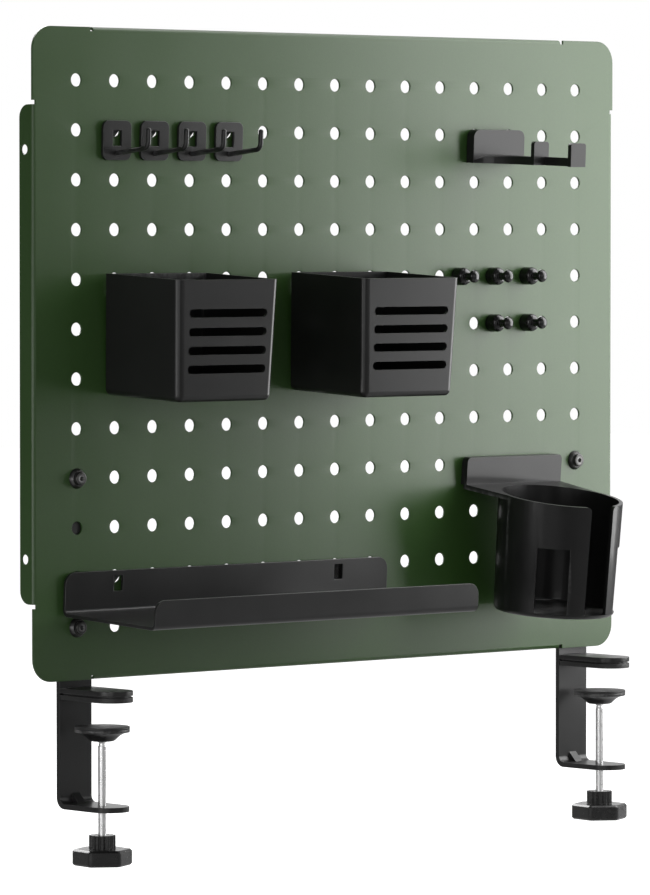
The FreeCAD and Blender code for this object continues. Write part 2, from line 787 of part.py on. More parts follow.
def make_hook(number):
    """A wire hook: a small plate, and a rod welded to it that turns up at its tip."""
    column = f"(hook_first_column + {number} - 1)"
    plate = hanging_body(f"hook_plate_{number}", "hook", column, "hook_row")
    face = new_sketch(plate, "XZ_Plane")
    rectangle(face, "-hook_plate_wide / 2", "hook_plate_wide / 2", "0", "hook_plate_tall")
    blank = pad(plate, face, "hook_plate_thick")
    fillet(plate, blank, lambda edge: runs_along(edge, "y"), "hook_plate_round")
    add_tongues(plate, "hook", STEEL, "hook_plate_thick")

    rod = hanging_body(f"hook_rod_{number}", "hook", column, "hook_row")
    root = "(hook_drop - hook_rod_drop)"
    out = "(hook_plate_thick + hook_rod_out)"
    corner_z = f"({root} + hook_rod_out * tan(hook_rod_rise))"
    tangent = "(hook_rod_bend * tan(45 - hook_rod_rise / 2))"
    path = new_sketch(rod, "YZ_Plane")
    draw(path, [
        ("-hook_plate_thick", root),
        (f"{tangent} * cos(hook_rod_rise) - {out}", f"{corner_z} - {tangent} * sin(hook_rod_rise)"),
        (f"-{out}", f"{corner_z} + {tangent}", f"hook_rod_bend - {out}", f"{corner_z} + {tangent}", False),
        (f"-{out}", f"{corner_z} + hook_rod_tip"),
    ], closed=False)
    section = new_sketch(rod, "XZ_Plane", ("0", "0", "hook_plate_thick"))
    circle(section, "0", root, "hook_rod_wide")
    swept = rod.newObject("PartDesign::AdditivePipe", f"{rod.Name}_Pipe")
    swept.Profile = section
    swept.Spine = path

    def tip(edge):
        return edge.BoundBox.ZMin > worth(f"{corner_z} + hook_rod_tip - hook_rod_wide / 2")

    fillet(rod, swept, tip, "hook_rod_wide * 0.4")


def make_headphone_hanger():
    """A moulded arm that narrows from its back plate, arched on top, with two upright tabs."""
    body = hanging_body("headphone_hanger", "hanger", "hanger_column", "hanger_row")
    back = new_sketch(body, "XZ_Plane")
    rectangle(back, "-hanger_wide / 2", "hanger_wide / 2", "0", "hanger_tall")
    plate = pad(body, back, "hanger_thick")

    def top_corner(edge):
        return runs_along(edge, "y") and near(edge.BoundBox.ZMax, "hanger_tall")

    fillet(body, plate, top_corner, "hanger_round")
    narrow = "-(hanger_thick + arm_taper_long)"
    centre = "arm_wide / 2 + arm_curve"
    plan = new_sketch(body, "XY_Plane")
    outline(plan, [
        ("hanger_wide / 2", "-hanger_thick / 2"),
        ("-hanger_wide / 2", "-hanger_thick / 2"),
        ("-hanger_wide / 2", "-hanger_thick"),
        ("-arm_wide / 2", narrow, f"-({centre})", narrow, False),
        ("-arm_wide / 2", "-hanger_long"),
        ("arm_wide / 2", "-hanger_long"),
        ("arm_wide / 2", narrow),
        ("hanger_wide / 2", "-hanger_thick", centre, narrow, False),
    ])
    pad(body, plan, "arm_thick")
    crown = new_sketch(body, "XZ_Plane", ("0", "0", "hanger_thick"))
    outline(crown, [
        ("hanger_wide / 2", "arm_thick"),
        ("-hanger_wide / 2", "arm_thick"),
        ("-hanger_wide / 2", "arm_edge"),
        ("0", "arm_thick", "0", "arm_thick - arm_crown", False),
        ("hanger_wide / 2", "arm_edge", "0", "arm_thick - arm_crown", False),
    ])
    pocket(body, crown, "hanger_long - hanger_thick", reverse=True)
    for front in ("mid_tab_out", "hanger_long"):
        tab = new_sketch(body, "XZ_Plane", ("0", "0", front))
        rectangle(tab, "-arm_wide / 2", "arm_wide / 2", "0", "tab_tall")
        whole = pad(body, tab, "tab_thick", reverse=True)

    def tab_corner(edge):
        return runs_along(edge, "y") and near(edge.BoundBox.ZMin, "tab_tall")

    fillet(body, whole, tab_corner, "tab_round")
    add_tongues(body, "hanger", CLOSED, "hanger_thick", "hole_pitch", "2")


def make_bin(side, column):
    """An open bin that narrows downwards, with slots across its front."""
    body = hanging_body(f"bin_{side}", "bin", column, "bin_row")

    def drafted(sketch, inset, floor, top):
        """The bin's front outline, inset by a wall, from floor to top."""
        slope = "(bin_top_wide - bin_low_wide) / 2 / bin_tall"
        low, high = (f"(bin_low_wide / 2 - {inset} + {slope} * {at})" for at in (floor, top))
        outline(sketch, [(f"-{high}", top), (f"-{low}", floor), (low, floor), (high, top)])

    def front_corner(front, floor):
        """A test for the two upright edges at a front face that start at a floor."""
        return lambda edge: (runs_along(edge, "z") and near(edge.BoundBox.YMin, front)
                             and near(edge.BoundBox.ZMin, floor))

    def foot(floor, inside):
        """A test for the edges round a floor, but for the back one outside."""
        return lambda edge: (near(edge.BoundBox.ZMin, floor) and near(edge.BoundBox.ZMax, floor)
                             and (inside or edge.BoundBox.YMin < -0.01))

    front = new_sketch(body, "XZ_Plane")
    drafted(front, "0", "0", "bin_tall")
    pad(body, front, "bin_deep")
    hollow = new_sketch(body, "XZ_Plane", ("0", "0", "bin_wall"))
    drafted(hollow, "bin_wall", "bin_wall", "(bin_tall + spare)")
    box = pocket(body, hollow, "bin_deep - 2 * bin_wall", reverse=True)
    box = fillet(body, box, front_corner("bin_wall - bin_deep", "bin_wall"), "bin_corner - bin_wall")
    box = fillet(body, box, foot("bin_wall", True), "bin_edge - bin_wall")
    box = fillet(body, box, front_corner("-bin_deep", "0"), "bin_corner")
    fillet(body, box, foot("0", False), "bin_edge")

    slot = new_sketch(body, "XZ_Plane", ("0", "0", "bin_deep - 2 * bin_wall"))
    high, low = (f"(bin_tall - bin_slot_drop {sign} bin_slot_tall / 2)" for sign in "+-")
    middle, end = "(bin_tall - bin_slot_drop)", "((bin_slot_wide - bin_slot_tall) / 2)"
    outline(slot, [(f"-{end}", low, f"-{end}", middle, True), (end, low),
                   (end, high, end, middle, True), (f"-{end}", high)])
    cut = pocket(body, slot, "2 * bin_wall + spare", reverse=True)
    rows = body.newObject("PartDesign::LinearPattern", f"{body.Name}_slots")
    rows.Originals = [cut]
    rows.Direction = (origin_part(body, "Z_Axis"), [""])
    rows.Reversed = True
    bind(rows, "Length", "bin_slot_pitch * (bin_slot_count - 1)")
    bind(rows, "Occurrences", "bin_slot_count")
    body.Tip = rows
    add_tongues(body, "bin", MOULDED, "bin_wall", "(2 * hole_pitch)", "3")


def make_desk_tray():
    """A folded tray: back plate, floor and a lower front lip, open at both ends."""
    body = hanging_body("desk_tray", "tray", "tray_column", "tray_row")
    section = new_sketch(body, "YZ_Plane")
    outline(section, [
        ("0", "0"),
        ("0", "tray_back_tall"),
        ("-tray_sheet", "tray_back_tall"),
        ("-tray_sheet", "tray_sheet"),
        ("tray_sheet - tray_deep", "tray_sheet"),
        ("tray_sheet - tray_deep", "tray_lip_tall"),
        ("-tray_deep", "tray_lip_tall"),
        ("-tray_deep", "0"),
    ])
    folded = pad(body, section, "tray_long", both=True)

    def inner(edge):
        return runs_along(edge, "x") and near(edge.BoundBox.ZMax, "tray_sheet")

    def outer(edge):
        return runs_along(edge, "x") and near(edge.BoundBox.ZMax, "0")

    folded = fillet(body, folded, inner, "tray_bend")
    folded = fillet(body, folded, outer, "tray_bend + tray_sheet")

    def corner(edge):
        box = edge.BoundBox
        high = near(box.ZMin, "tray_lip_tall") or near(box.ZMin, "tray_back_tall")
        return runs_along(edge, "y") and high

    fillet(body, folded, corner, "tray_round")
    add_tongues(body, "tray", STEEL, "tray_sheet", "(6 * hole_pitch)", "2")


def make_cup_holder():
    """A tapered cup with an open front, windows in its sides and a web to its back plate."""
    body = hanging_body("cup_holder", "cup", "cup_column", "cup_row")
    back = new_sketch(body, "XZ_Plane")
    rectangle(back, "-cup_plate_wide / 2", "cup_plate_wide / 2", "0", "cup_plate_tall")
    plate = pad(body, back, "cup_plate_thick")

    def top_corner(edge):
        return runs_along(edge, "y") and near(edge.BoundBox.ZMax, "cup_plate_tall")

    fillet(body, plate, top_corner, "cup_plate_round")
    along = "((cup_out - cup_plate_thick) / cos(cup_web_slope))"
    half, reach = "cup_plate_wide / 2", "(cup_rim_wide - cup_wall) / 2"
    web = new_sketch(body, "XY_Plane", ("0", "-cup_plate_thick", "0"), "cup_web_slope", (1, 0, 0))
    outline(web, [
        (half, "cup_plate_thick / 2"),
        (f"-{half}", "cup_plate_thick / 2"),
        (f"-{half}", "0"),
        (f"-{reach}", f"-{along}"),
        (reach, f"-{along}", "0", f"-{along}", True),
        (half, "0"),
    ])
    pad(body, web, "2 * cup_web", both=True)

    on_axis = ("-cup_out", "0", "0")
    low = "-(cup_rim_drop + cup_tall)"
    taper = "(cup_rim_wide - cup_low_wide) / 2 / cup_tall"
    at_top = f"(cup_rim_wide / 2 + {taper} * (cup_rim_drop + spare))"
    solid = new_sketch(body, "YZ_Plane", on_axis)
    outline(solid, [("0", low), ("cup_low_wide / 2", low), (at_top, "spare"), ("0", "spare")])
    cone = turned("Revolution", body, solid)

    def foot(edge):
        return near(edge.BoundBox.ZMax, low) and edge.Curve.TypeId == "Part::GeomCircle"

    fillet(body, cone, foot, "cup_edge")
    fall = "(cup_out + cup_rim_wide) * tan(cup_web_slope)"
    above = new_sketch(body, "YZ_Plane", ("-cup_plate_thick", "0", "0"))
    outline(above, [("0", "0"), ("0", "2 * spare"), ("-(cup_out + cup_rim_wide)", "2 * spare"),
                    ("-(cup_out + cup_rim_wide)", f"-{fall}")])
    pocket(body, above, "2 * cup_rim_wide", both=True)

    floor = "cup_floor"
    inner = new_sketch(body, "YZ_Plane", on_axis)
    outline(inner, [("0", floor), (f"cup_low_wide / 2 - cup_wall + {taper} * cup_wall", floor),
                    (f"{at_top} - cup_wall", "spare"), ("0", "spare")])
    hollow = turned("Groove", body, inner)

    def inner_foot(edge):
        return near(edge.BoundBox.ZMax, floor) and edge.Curve.TypeId == "Part::GeomCircle"

    fillet(body, hollow, inner_foot, "cup_edge - cup_wall / 2")

    slot = new_sketch(body, "XZ_Plane", ("0", "0", "cup_out"))
    rectangle(slot, "-cup_slot_wide / 2", "cup_slot_wide / 2", floor, "spare")
    pocket(body, slot, "cup_past_wall", reverse=True)
    for sign in ("-", ""):
        window = new_sketch(body, "XZ_Plane", ("0", "0", "0"), f"{sign}cup_window_turn", (0, 1, 0))
        bind(window, "AttachmentOffset.Base.z", "cup_out")
        rectangle(window, "-cup_window_wide / 2", "cup_window_wide / 2", floor,
                  f"{floor} + cup_window_tall")
        opened = pocket(body, window, "cup_past_wall", reverse=True)

    def slot_corner(edge):
        box = edge.BoundBox
        return (runs_along(edge, "y") and near(abs(box.XMax), "cup_slot_wide / 2")
                and box.ZMax > worth(floor) / 2 and box.YMax < -worth("cup_out"))

    fillet(body, opened, slot_corner, "cup_slot_round")
    add_tongues(body, "cup", CLOSED, "cup_plate_thick", "(2 * hole_pitch)", "2")


# ---- Magnetic pegs --------------------------------------------------------------------------

def make_magnet_peg(number, column, row):
    """A turned peg with a ball at its tip, and the disc magnet pressed into its foot."""
    place = {"x": at_column(column), "y": "-(sheet + hang_play)", "z": at_row(row)}
    peg = new_body(f"magnet_peg_{number}", **place)
    socket = "magnet_wide / 2 + magnet_play"
    neck = "magnet_neck_wide / 2"
    ball = "magnet_ball_wide / 2"
    side = "magnet_peg_wide / 2"
    section = new_sketch(peg, "XY_Plane")
    outline(section, [
        ("0", "-magnet_thick"),
        ("0", "-magnet_peg_long"),
        (neck, f"{ball} - magnet_peg_long + sqrt({ball} * {ball} - {neck} * {neck})",
         "0", f"{ball} - magnet_peg_long", True),
        (neck, f"{side} - magnet_body_long - magnet_neck_wide"),
        (f"{side} - magnet_groove", "-magnet_body_long"),
        (side, "magnet_groove - magnet_body_long"),
        (side, "0"),
        (socket, "0"),
        (socket, "-magnet_thick"),
    ])
    turned("Revolution", peg, section)
    magnet = new_body(f"magnet_disc_{number}", **place)
    disc = new_sketch(magnet, "XZ_Plane")
    circle(disc, "0", "0", "magnet_wide")
    pad(magnet, disc, "magnet_thick")


# ---- The whole organizer --------------------------------------------------------------------

make_panel()
for clamp_side, clamp_x in (("left", "-clamp_apart / 2"), ("right", "clamp_apart / 2")):
    make_clamp_bar(clamp_side, clamp_x)
    make_clamp_jaw(clamp_side, clamp_x)
    make_jaw_pad(clamp_side, clamp_x)
    make_pad_facing(clamp_side, clamp_x)
    make_swivel_pad(clamp_side, clamp_x)
    make_clamp_screw(clamp_side, clamp_x)
    make_screw_knob(clamp_side, clamp_x)
make_panel_screws()
make_panel_washers()
make_panel_nuts()
for hook_number in range(1, SIZES["hook_count"] + 1):
    make_hook(hook_number)
make_headphone_hanger()
make_bin("left", "bin_left_column")
make_bin("right", "bin_right_column")
make_desk_tray()
make_cup_holder()
for peg_number, (peg_across, peg_down) in enumerate(((0, 0), (1, 0), (2, 0), (1, 1), (2, 1)), start=1):
    make_magnet_peg(peg_number, f"(magnet_first_column + {peg_across})", f"(magnet_row + {peg_down})")
document.recompute()


# ---- Checks and files -----------------------------------------------------------------------

faults = [item.Label for item in document.Objects if {"Invalid", "Error"} & set(item.State)]
for item in document.Objects:
    if item.TypeId in ("PartDesign::Pocket", "PartDesign::Groove") and item.Label not in faults:
        if item.Shape.Volume >= item.BaseFeature.Shape.Volume:
            faults.append(f"{item.Label} cuts nothing")
for node in nodes:
    if node.Shape.isNull() or not node.Shape.isValid():
        faults.append(f"{node.Label} has no valid shape")
if faults:
    raise RuntimeError("; ".join(faults))

os.makedirs("parts", exist_ok=True)
for node in nodes:
    node.Shape.exportStep(f"parts/{node.Label}.step")
    print(node.Label, len(node.Shape.Solids), round(node.Shape.Volume, 1))
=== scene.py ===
import json
import math

import bmesh
import bpy
from mathutils import Matrix, Vector


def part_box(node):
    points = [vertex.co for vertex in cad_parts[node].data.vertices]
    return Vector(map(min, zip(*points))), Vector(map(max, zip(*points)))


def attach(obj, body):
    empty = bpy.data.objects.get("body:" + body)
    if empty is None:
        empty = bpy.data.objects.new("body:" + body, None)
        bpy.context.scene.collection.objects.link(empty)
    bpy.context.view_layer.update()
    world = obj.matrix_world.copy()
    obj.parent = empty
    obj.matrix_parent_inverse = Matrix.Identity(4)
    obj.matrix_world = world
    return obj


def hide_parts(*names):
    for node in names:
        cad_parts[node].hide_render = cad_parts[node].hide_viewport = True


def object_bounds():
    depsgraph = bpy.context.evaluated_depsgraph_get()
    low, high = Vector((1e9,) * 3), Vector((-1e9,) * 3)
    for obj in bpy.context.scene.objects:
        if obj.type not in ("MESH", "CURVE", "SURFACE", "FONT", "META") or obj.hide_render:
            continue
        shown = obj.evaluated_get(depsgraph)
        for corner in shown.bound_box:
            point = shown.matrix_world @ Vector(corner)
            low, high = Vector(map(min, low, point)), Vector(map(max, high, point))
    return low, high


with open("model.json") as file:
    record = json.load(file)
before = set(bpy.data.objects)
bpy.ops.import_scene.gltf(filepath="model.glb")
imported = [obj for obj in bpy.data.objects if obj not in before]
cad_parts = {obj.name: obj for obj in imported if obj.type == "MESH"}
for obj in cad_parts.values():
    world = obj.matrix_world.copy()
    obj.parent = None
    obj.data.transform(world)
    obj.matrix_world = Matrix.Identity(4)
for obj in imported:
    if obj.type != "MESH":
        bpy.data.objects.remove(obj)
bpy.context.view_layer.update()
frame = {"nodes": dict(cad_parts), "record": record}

# Pegboard desk organizer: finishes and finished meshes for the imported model. Metres, +Z up.

BODY_OF = {node: body for body, nodes in frame["record"]["behaviour"]["bodies"].items() for node in nodes}
SIDES = ("left", "right")
MM = 0.001

# Perforated sheet and its folded edges.
HOLE_PITCH = 30 * MM
HOLE_RADIUS = 4 * MM
HOLE_COLUMNS = 15
HOLE_ROWS = 12
HOLE_RIM = 0.3 * MM
HOLE_SEGMENTS = 24
SHEET = 1.5 * MM
CORNER_RADIUS = 14 * MM
CORNER_STEPS = 10
BEND_RADIUS = 2.5 * MM
BEND_STEPS = 6
FLANGE_DEEP = 12.7 * MM
FLANGE_ROUND = 8 * MM
FLANGE_GAP = 2.5 * MM
SIDE_FLANGE_HALF = 150 * MM
END_FLANGE_HALF = 196.5 * MM
FLANGE_HOLE_RADIUS = 3 * MM
FLANGE_HOLE_SPAN = 246 * MM
FLANGE_HOLE_INSET = 8.3 * MM

# Eased edges of each kind of piece, and how sharp an edge is before it is eased, in degrees.
SHEET_EDGE = 0.25 * MM
STEEL_EDGE = 0.3 * MM
RUBBER_EDGE = 0.25 * MM
KNOB_EDGE = 0.5 * MM
BIN_EDGE = 0.55 * MM
CUP_EDGE = 0.5 * MM
HANGER_EDGE = 0.4 * MM
MAGNET_EDGE = 0.15 * MM
WASHER_EDGE = 0.08 * MM
NUT_EDGE = 0.05 * MM
SHARP = 38
SHARP_SHEET = 60
SHARP_FASTENER = 50

# Folds gentler than this, in radians, count as flat. The rest gain strength fast.
GENTLE_FOLD = 0.5
FOLD_GAIN = 5

# Turned parts and threads.
WASHER_WIDE = 12.4 * MM
SPINDLE_RADIUS = 2.5 * MM
SPINDLE_PITCH = 0.8 * MM
SPINDLE_THREAD = 0.03 * MM
SCREW_RADIUS = 2 * MM
SCREW_PITCH = 0.7 * MM
SCREW_THREAD = 0.3 * MM
SCREW_TIP = 2.9 * MM
SCREW_TIP_PLACE = -8.9 * MM
THREAD_SEGMENTS = 24
TURNED_SEGMENTS = 64
FACING_FRONT = Matrix.Rotation(math.pi / 2, 4, "X")
TURN_SEED = 5

# The hanger leans forward a little. Its arm is only a rib between its two tabs.
HANGER_TILT = math.radians(2.4)
HANGER_TALL = 21.2 * MM
HANGER_PLAY = 0.2 * MM
MID_TAB_FRONT = 45.5 * MM
END_TAB_BACK = 76 * MM
ARM_WIDE = 13 * MM
ARM_THICK = 5.5 * MM
RIB_THICK = 3 * MM

# Below the object the floor leaves room for the clamp knobs at their lowest.
KNOB_ROOM = 38 * MM

# The size of a patch of painted edge highlight, and the colour of dust.
HIGHLIGHT_PATCH_SIZE = 4 * MM
DUST = (0.25, 0.25, 0.24, 1)

# Camera: where it stands, how it is turned in degrees, and its lens and sensor in mm.
CAMERA_PLACE = (-2.5008, -2.7645, 0.2859)
CAMERA_TILT = 2.14
CAMERA_TURN = 42.05
CAMERA_LENS = 239.45
CAMERA_SENSOR = 36

# Room: how bright it is, and the wall that is bright, with how squarely a ray has to face it.
ROOM_LIGHT = 0.12
WALL_LIGHT = 1.0
WALL_PLACE = (0.70, 0.71, 0)
WALL_STARTS = 0.6
WALL_FULL = 0.95
FLOOR_HALF = 6
PAPER_TONE = 0.35
PAPER_GLOW = 0.97


# ---- Node trees -----------------------------------------------------------------------------

def add_node(tree, kind, inputs=None, **settings):
    """A node with its settings, and its inputs set to values or linked to sockets."""
    made = tree.nodes.new(kind)
    for name, value in settings.items():
        setattr(made, name, value)
    for name, value in (inputs or {}).items():
        if isinstance(value, bpy.types.NodeSocket):
            tree.links.new(value, made.inputs[name])
        else:
            made.inputs[name].default_value = value
    return made


def calculate(tree, operation, *values):
    """The result of one math step."""
    return add_node(tree, "ShaderNodeMath", dict(enumerate(values)), operation=operation).outputs[0]


def new_tree(name, kind, inputs, outputs):
    """A node tree or group with named inputs, and its input and output nodes."""
    tree = bpy.data.node_groups.new(name, kind)
    for in_out, sockets in (("INPUT", inputs), ("OUTPUT", outputs)):
        for label, socket_type, default in sockets:
            socket = tree.interface.new_socket(label, in_out=in_out, socket_type=f"NodeSocket{socket_type}")
            if default is not None:
                socket.default_value = default
    return tree, add_node(tree, "NodeGroupInput").outputs, add_node(tree, "NodeGroupOutput").inputs


def grid_place(tree):
    """The X, Y and Z of each point of a grid."""
    position = add_node(tree, "GeometryNodeInputPosition").outputs[0]
    return add_node(tree, "ShaderNodeSeparateXYZ", {0: position}).outputs


def wound_round(tree, strip, radius, angle, height):
    """Bends a flat strip round Z: each point goes to its own radius, angle and height."""
    place = add_node(tree, "ShaderNodeCombineXYZ", {
        "X": calculate(tree, "MULTIPLY", radius, calculate(tree, "COSINE", angle)),
        "Y": calculate(tree, "MULTIPLY", radius, calculate(tree, "SINE", angle)),
        "Z": height,
    }).outputs[0]
    return add_node(tree, "GeometryNodeSetPosition", {"Geometry": strip, "Position": place}).outputs[0]


def raised(tree, mesh, height):
    """The mesh, moved up."""
    offset = add_node(tree, "ShaderNodeCombineXYZ", {"Z": height}).outputs[0]
    return add_node(tree, "GeometryNodeTransform", {"Geometry": mesh, "Translation": offset}).outputs[0]


def welded(tree, meshes, gap):
    """Several meshes as one, with the points that meet made one."""
    together = add_node(tree, "GeometryNodeJoinGeometry")
    for mesh in meshes:
        tree.links.new(mesh, together.inputs[0])
    sockets = {"Geometry": together.outputs[0], "Distance": gap}
    return add_node(tree, "GeometryNodeMergeByDistance", sockets).outputs[0]


def finish_tree(tree, mesh, material, output):
    """Ends a geometry tree: real mesh, its material, out."""
    real = add_node(tree, "GeometryNodeRealizeInstances", {"Geometry": mesh}).outputs[0]
    coated = add_node(tree, "GeometryNodeSetMaterial", {"Geometry": real, "Material": material})
    tree.links.new(coated.outputs[0], output)


def grown(piece, tree, values):
    """Runs a geometry tree on the piece and keeps what it makes as plain mesh.

    The tree's inputs are found by name and set by identifier.
    """
    modifier = piece.modifiers.new(tree.name, "NODES")
    modifier.node_group = tree
    for item in tree.interface.items_tree:
        if item.in_out == "INPUT" and item.name in values:
            modifier[item.identifier] = values[item.name]
    return flattened(piece)


# ---- Meshes ---------------------------------------------------------------------------------

def new_piece(name, mesh):
    """An object in the scene that shows a mesh."""
    piece = bpy.data.objects.new(name, mesh)
    bpy.context.scene.collection.objects.link(piece)
    return piece


def mesh_from(name, points, faces):
    """A mesh of points and of faces that list them."""
    mesh = bpy.data.meshes.new(name)
    mesh.from_pydata([tuple(point) for point in points], [], faces)
    return mesh


def flattened(piece):
    """The piece with its modifiers turned into plain mesh."""
    graph = bpy.context.evaluated_depsgraph_get()
    graph.update()
    mesh = bpy.data.meshes.new_from_object(piece.evaluated_get(graph))
    piece.modifiers.clear()
    old, piece.data = piece.data, mesh
    bpy.data.meshes.remove(old)
    return piece


def cleaned(piece, gap=1e-6, flat_angle=0.4, outward=False):
    """Joins a piece's doubled points and the triangles of each flat face."""
    work = bmesh.new()
    work.from_mesh(piece.data)
    bmesh.ops.remove_doubles(work, verts=work.verts, dist=gap)
    bmesh.ops.dissolve_degenerate(work, edges=work.edges, dist=gap / 10)
    if flat_angle:
        limit = math.radians(flat_angle)
        bmesh.ops.dissolve_limit(work, angle_limit=limit, verts=work.verts, edges=work.edges)
    if outward:
        bmesh.ops.recalc_face_normals(work, faces=work.faces)
    work.to_mesh(piece.data)
    work.free()
    return piece


def smoothed(piece):
    """The piece, shaded smooth."""
    piece.data.polygons.foreach_set("use_smooth", [True] * len(piece.data.polygons))
    return piece


def edge_marked(piece):
    """Stores how the surface folds at each point: 1 on an outer edge, -1 in a corner, 0 on a face."""
    work = bmesh.new()
    work.from_mesh(piece.data)
    folds = []
    for point in work.verts:
        fold = max((edge.calc_face_angle_signed(0) for edge in point.link_edges), key=abs, default=0)
        strength = min(max(abs(fold) - GENTLE_FOLD, 0) * FOLD_GAIN, 1)
        folds.append(math.copysign(strength, fold))
    work.free()
    piece.data.attributes.new("fold", "FLOAT", "POINT").data.foreach_set("value", folds)
    return piece


def rounded(piece, width, sharp=SHARP):
    """Rounds a piece's sharp edges and shades it smooth, with its flat faces kept flat."""
    smoothed(piece)
    if width:
        bevel = piece.modifiers.new("edges", "BEVEL")
        bevel.width = width
        bevel.segments = 2
        bevel.limit_method = "ANGLE"
        bevel.angle_limit = math.radians(sharp)
        bevel.miter_outer = "MITER_ARC"
    weighted = piece.modifiers.new("normals", "WEIGHTED_NORMAL")
    weighted.keep_sharp = True
    return edge_marked(flattened(piece))


def copy_of(node):
    """A clean copy of a CAD node's mesh."""
    source = frame["nodes"][node].data
    points = [v.co for v in source.vertices]
    faces = [tuple(p.vertices) for p in source.polygons]
    return cleaned(new_piece(f"{node}_finish", mesh_from(node, points, faces)))


def joined(name, pieces):
    """Several pieces as one."""
    work = bmesh.new()
    for piece in pieces:
        work.from_mesh(piece.data)
        bpy.data.objects.remove(piece)
    mesh = bpy.data.meshes.new(name)
    work.to_mesh(mesh)
    work.free()
    return new_piece(name, mesh)


def lathe(name, profile, segments=48):
    """A closed shape turned about Z.

    The profile's points are (radius, height) in mm. A third value makes a point's ring a hexagon,
    whose flats lie at that radius.
    """
    count = len(profile)
    points, faces = [], []
    for step in range(segments):
        angle = math.tau * step / segments
        to_corner = 1 / math.cos((angle + math.pi / 6) % (math.pi / 3) - math.pi / 6)
        for radius, height, *hexagon in profile:
            reach = radius * MM * (to_corner if hexagon else 1)
            points.append((reach * math.cos(angle), reach * math.sin(angle), height * MM))
    for step in range(segments):
        here = step * count
        there = (step + 1) % segments * count
        faces += [(here + k, there + k, there + k + 1, here + k + 1) for k in range(count - 1)]
    return cleaned(new_piece(name, mesh_from(name, points, faces)), 1e-7, 0, outward=True)


def placed(piece, matrix):
    """The piece with its mesh moved, so that the object itself stays at the origin."""
    piece.data.transform(matrix)
    return piece


def arc(centre, radius, first, last, steps):
    """Points of an arc, its angles in degrees."""
    angles = [math.radians(first + (last - first) * step / steps) for step in range(steps + 1)]
    return [(centre[0] + radius * math.cos(a), centre[1] + radius * math.sin(a)) for a in angles]


def installed(piece, node, material):
    """Gives a piece its finish and puts it in place of a CAD node."""
    piece.name = f"{node}_finish"
    piece.data.name = piece.name
    piece.data.materials.clear()
    piece.data.materials.append(material)
    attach(piece, BODY_OF[node])
    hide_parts(node)
    return piece


# ---- Shared effects -------------------------------------------------------------------------

def mix_colours(tree, factor, first, second):
    """A mix of two colours. Its colour sockets are the third pair of those names."""
    sockets = {0: factor, 6: first, 7: second}
    return add_node(tree, "ShaderNodeMix", sockets, data_type="RGBA").outputs[2]


def noise(tree, place, size, detail=2.0):
    """Soft noise whose blobs are about as large as size."""
    scale = calculate(tree, "DIVIDE", 1, size)
    made = add_node(tree, "ShaderNodeTexNoise", {"Vector": place, "Scale": scale, "Detail": detail})
    return made.outputs["Fac"]


def stretch(tree, value, low, high, lowest, highest):
    """A value between low and high, spread over lowest to highest.

    Noise keeps near 0.5, so it is taken to run from about 0.3 to 0.7.
    """
    sockets = {"Value": value, "From Min": low, "From Max": high, "To Min": lowest, "To Max": highest}
    return add_node(tree, "ShaderNodeMapRange", sockets).outputs["Result"]


def make_grain_group():
    """Surface grain: a height, and a gloss that varies in blotches and with the grain."""
    tree, given, out = new_tree("surface_grain", "ShaderNodeTree", [
        ("Grain size", "Float", 0.5 * MM),
        ("Pitting", "Float", 0.5),
        ("Blotch size", "Float", 20 * MM),
        ("Smoothest", "Float", 0.4),
        ("Roughest", "Float", 0.5),
    ], [("Height", "Float", None), ("Roughness", "Float", None)])
    place = add_node(tree, "ShaderNodeTexCoord").outputs["Object"]
    fine = noise(tree, place, given["Grain size"], 3.0)
    # Pits lie a little wider apart than the grain.
    scale = calculate(tree, "DIVIDE", 0.7, given["Grain size"])
    pits = add_node(tree, "ShaderNodeTexVoronoi", {"Vector": place, "Scale": scale}, feature="F1")
    pitted = calculate(tree, "MULTIPLY", pits.outputs["Distance"], given["Pitting"])
    tree.links.new(calculate(tree, "ADD", fine, pitted), out["Height"])
    blotch = noise(tree, place, given["Blotch size"], 4.0)
    mottle = calculate(tree, "MULTIPLY_ADD", blotch, 0.75, calculate(tree, "MULTIPLY", fine, 0.25))
    gloss = stretch(tree, mottle, 0.3, 0.7, given["Smoothest"], given["Roughest"])
    tree.links.new(gloss, out["Roughness"])
    return tree


def make_tone_group():
    """Colour that drifts over the surface and speckles, with a painted highlight on outer edges and dust in
    hollows.
    """
    tree, given, out = new_tree("surface_tone", "ShaderNodeTree", [
        ("Colour", "Color", (0.1, 0.1, 0.1, 1)),
        ("Drift colour", "Color", (0.1, 0.1, 0.1, 1)),
        ("Drift size", "Float", 60 * MM),
        ("Speckle size", "Float", 0.8 * MM),
        ("Speckle amount", "Float", 0.2),
        ("Edge colour", "Color", (0.2, 0.2, 0.2, 1)),
        ("Edge amount", "Float", 0.3),
        ("Dust amount", "Float", 0.0),
    ], [("Colour", "Color", None)])
    place = add_node(tree, "ShaderNodeTexCoord").outputs["Object"]
    drift = stretch(tree, noise(tree, place, given["Drift size"]), 0.35, 0.65, 0, 1)
    tone = mix_colours(tree, drift, given["Colour"], given["Drift colour"])
    speckle = stretch(tree, noise(tree, place, given["Speckle size"], 1.0), 0, 1, -1, 1)
    lift = calculate(tree, "MULTIPLY_ADD", speckle, given["Speckle amount"], 1)
    speckled = add_node(tree, "ShaderNodeHueSaturation", {"Color": tone, "Value": lift}).outputs["Color"]
    fold = add_node(tree, "ShaderNodeAttribute", attribute_name="fold").outputs["Fac"]
    # The paler edge colour is a painted highlight on outer edges, broken into patches by noise.
    highlight_patches = stretch(tree, noise(tree, place, HIGHLIGHT_PATCH_SIZE, 4.0), 0.4, 0.65, 0.2, 1)
    edge = calculate(tree, "MULTIPLY", stretch(tree, fold, 0.1, 0.9, 0, given["Edge amount"]), highlight_patches)
    edge_highlighted = mix_colours(tree, edge, speckled, given["Edge colour"])
    hollow = stretch(tree, fold, -0.1, -0.9, 0, given["Dust amount"])
    tree.links.new(mix_colours(tree, hollow, edge_highlighted, DUST), out["Colour"])
    return tree


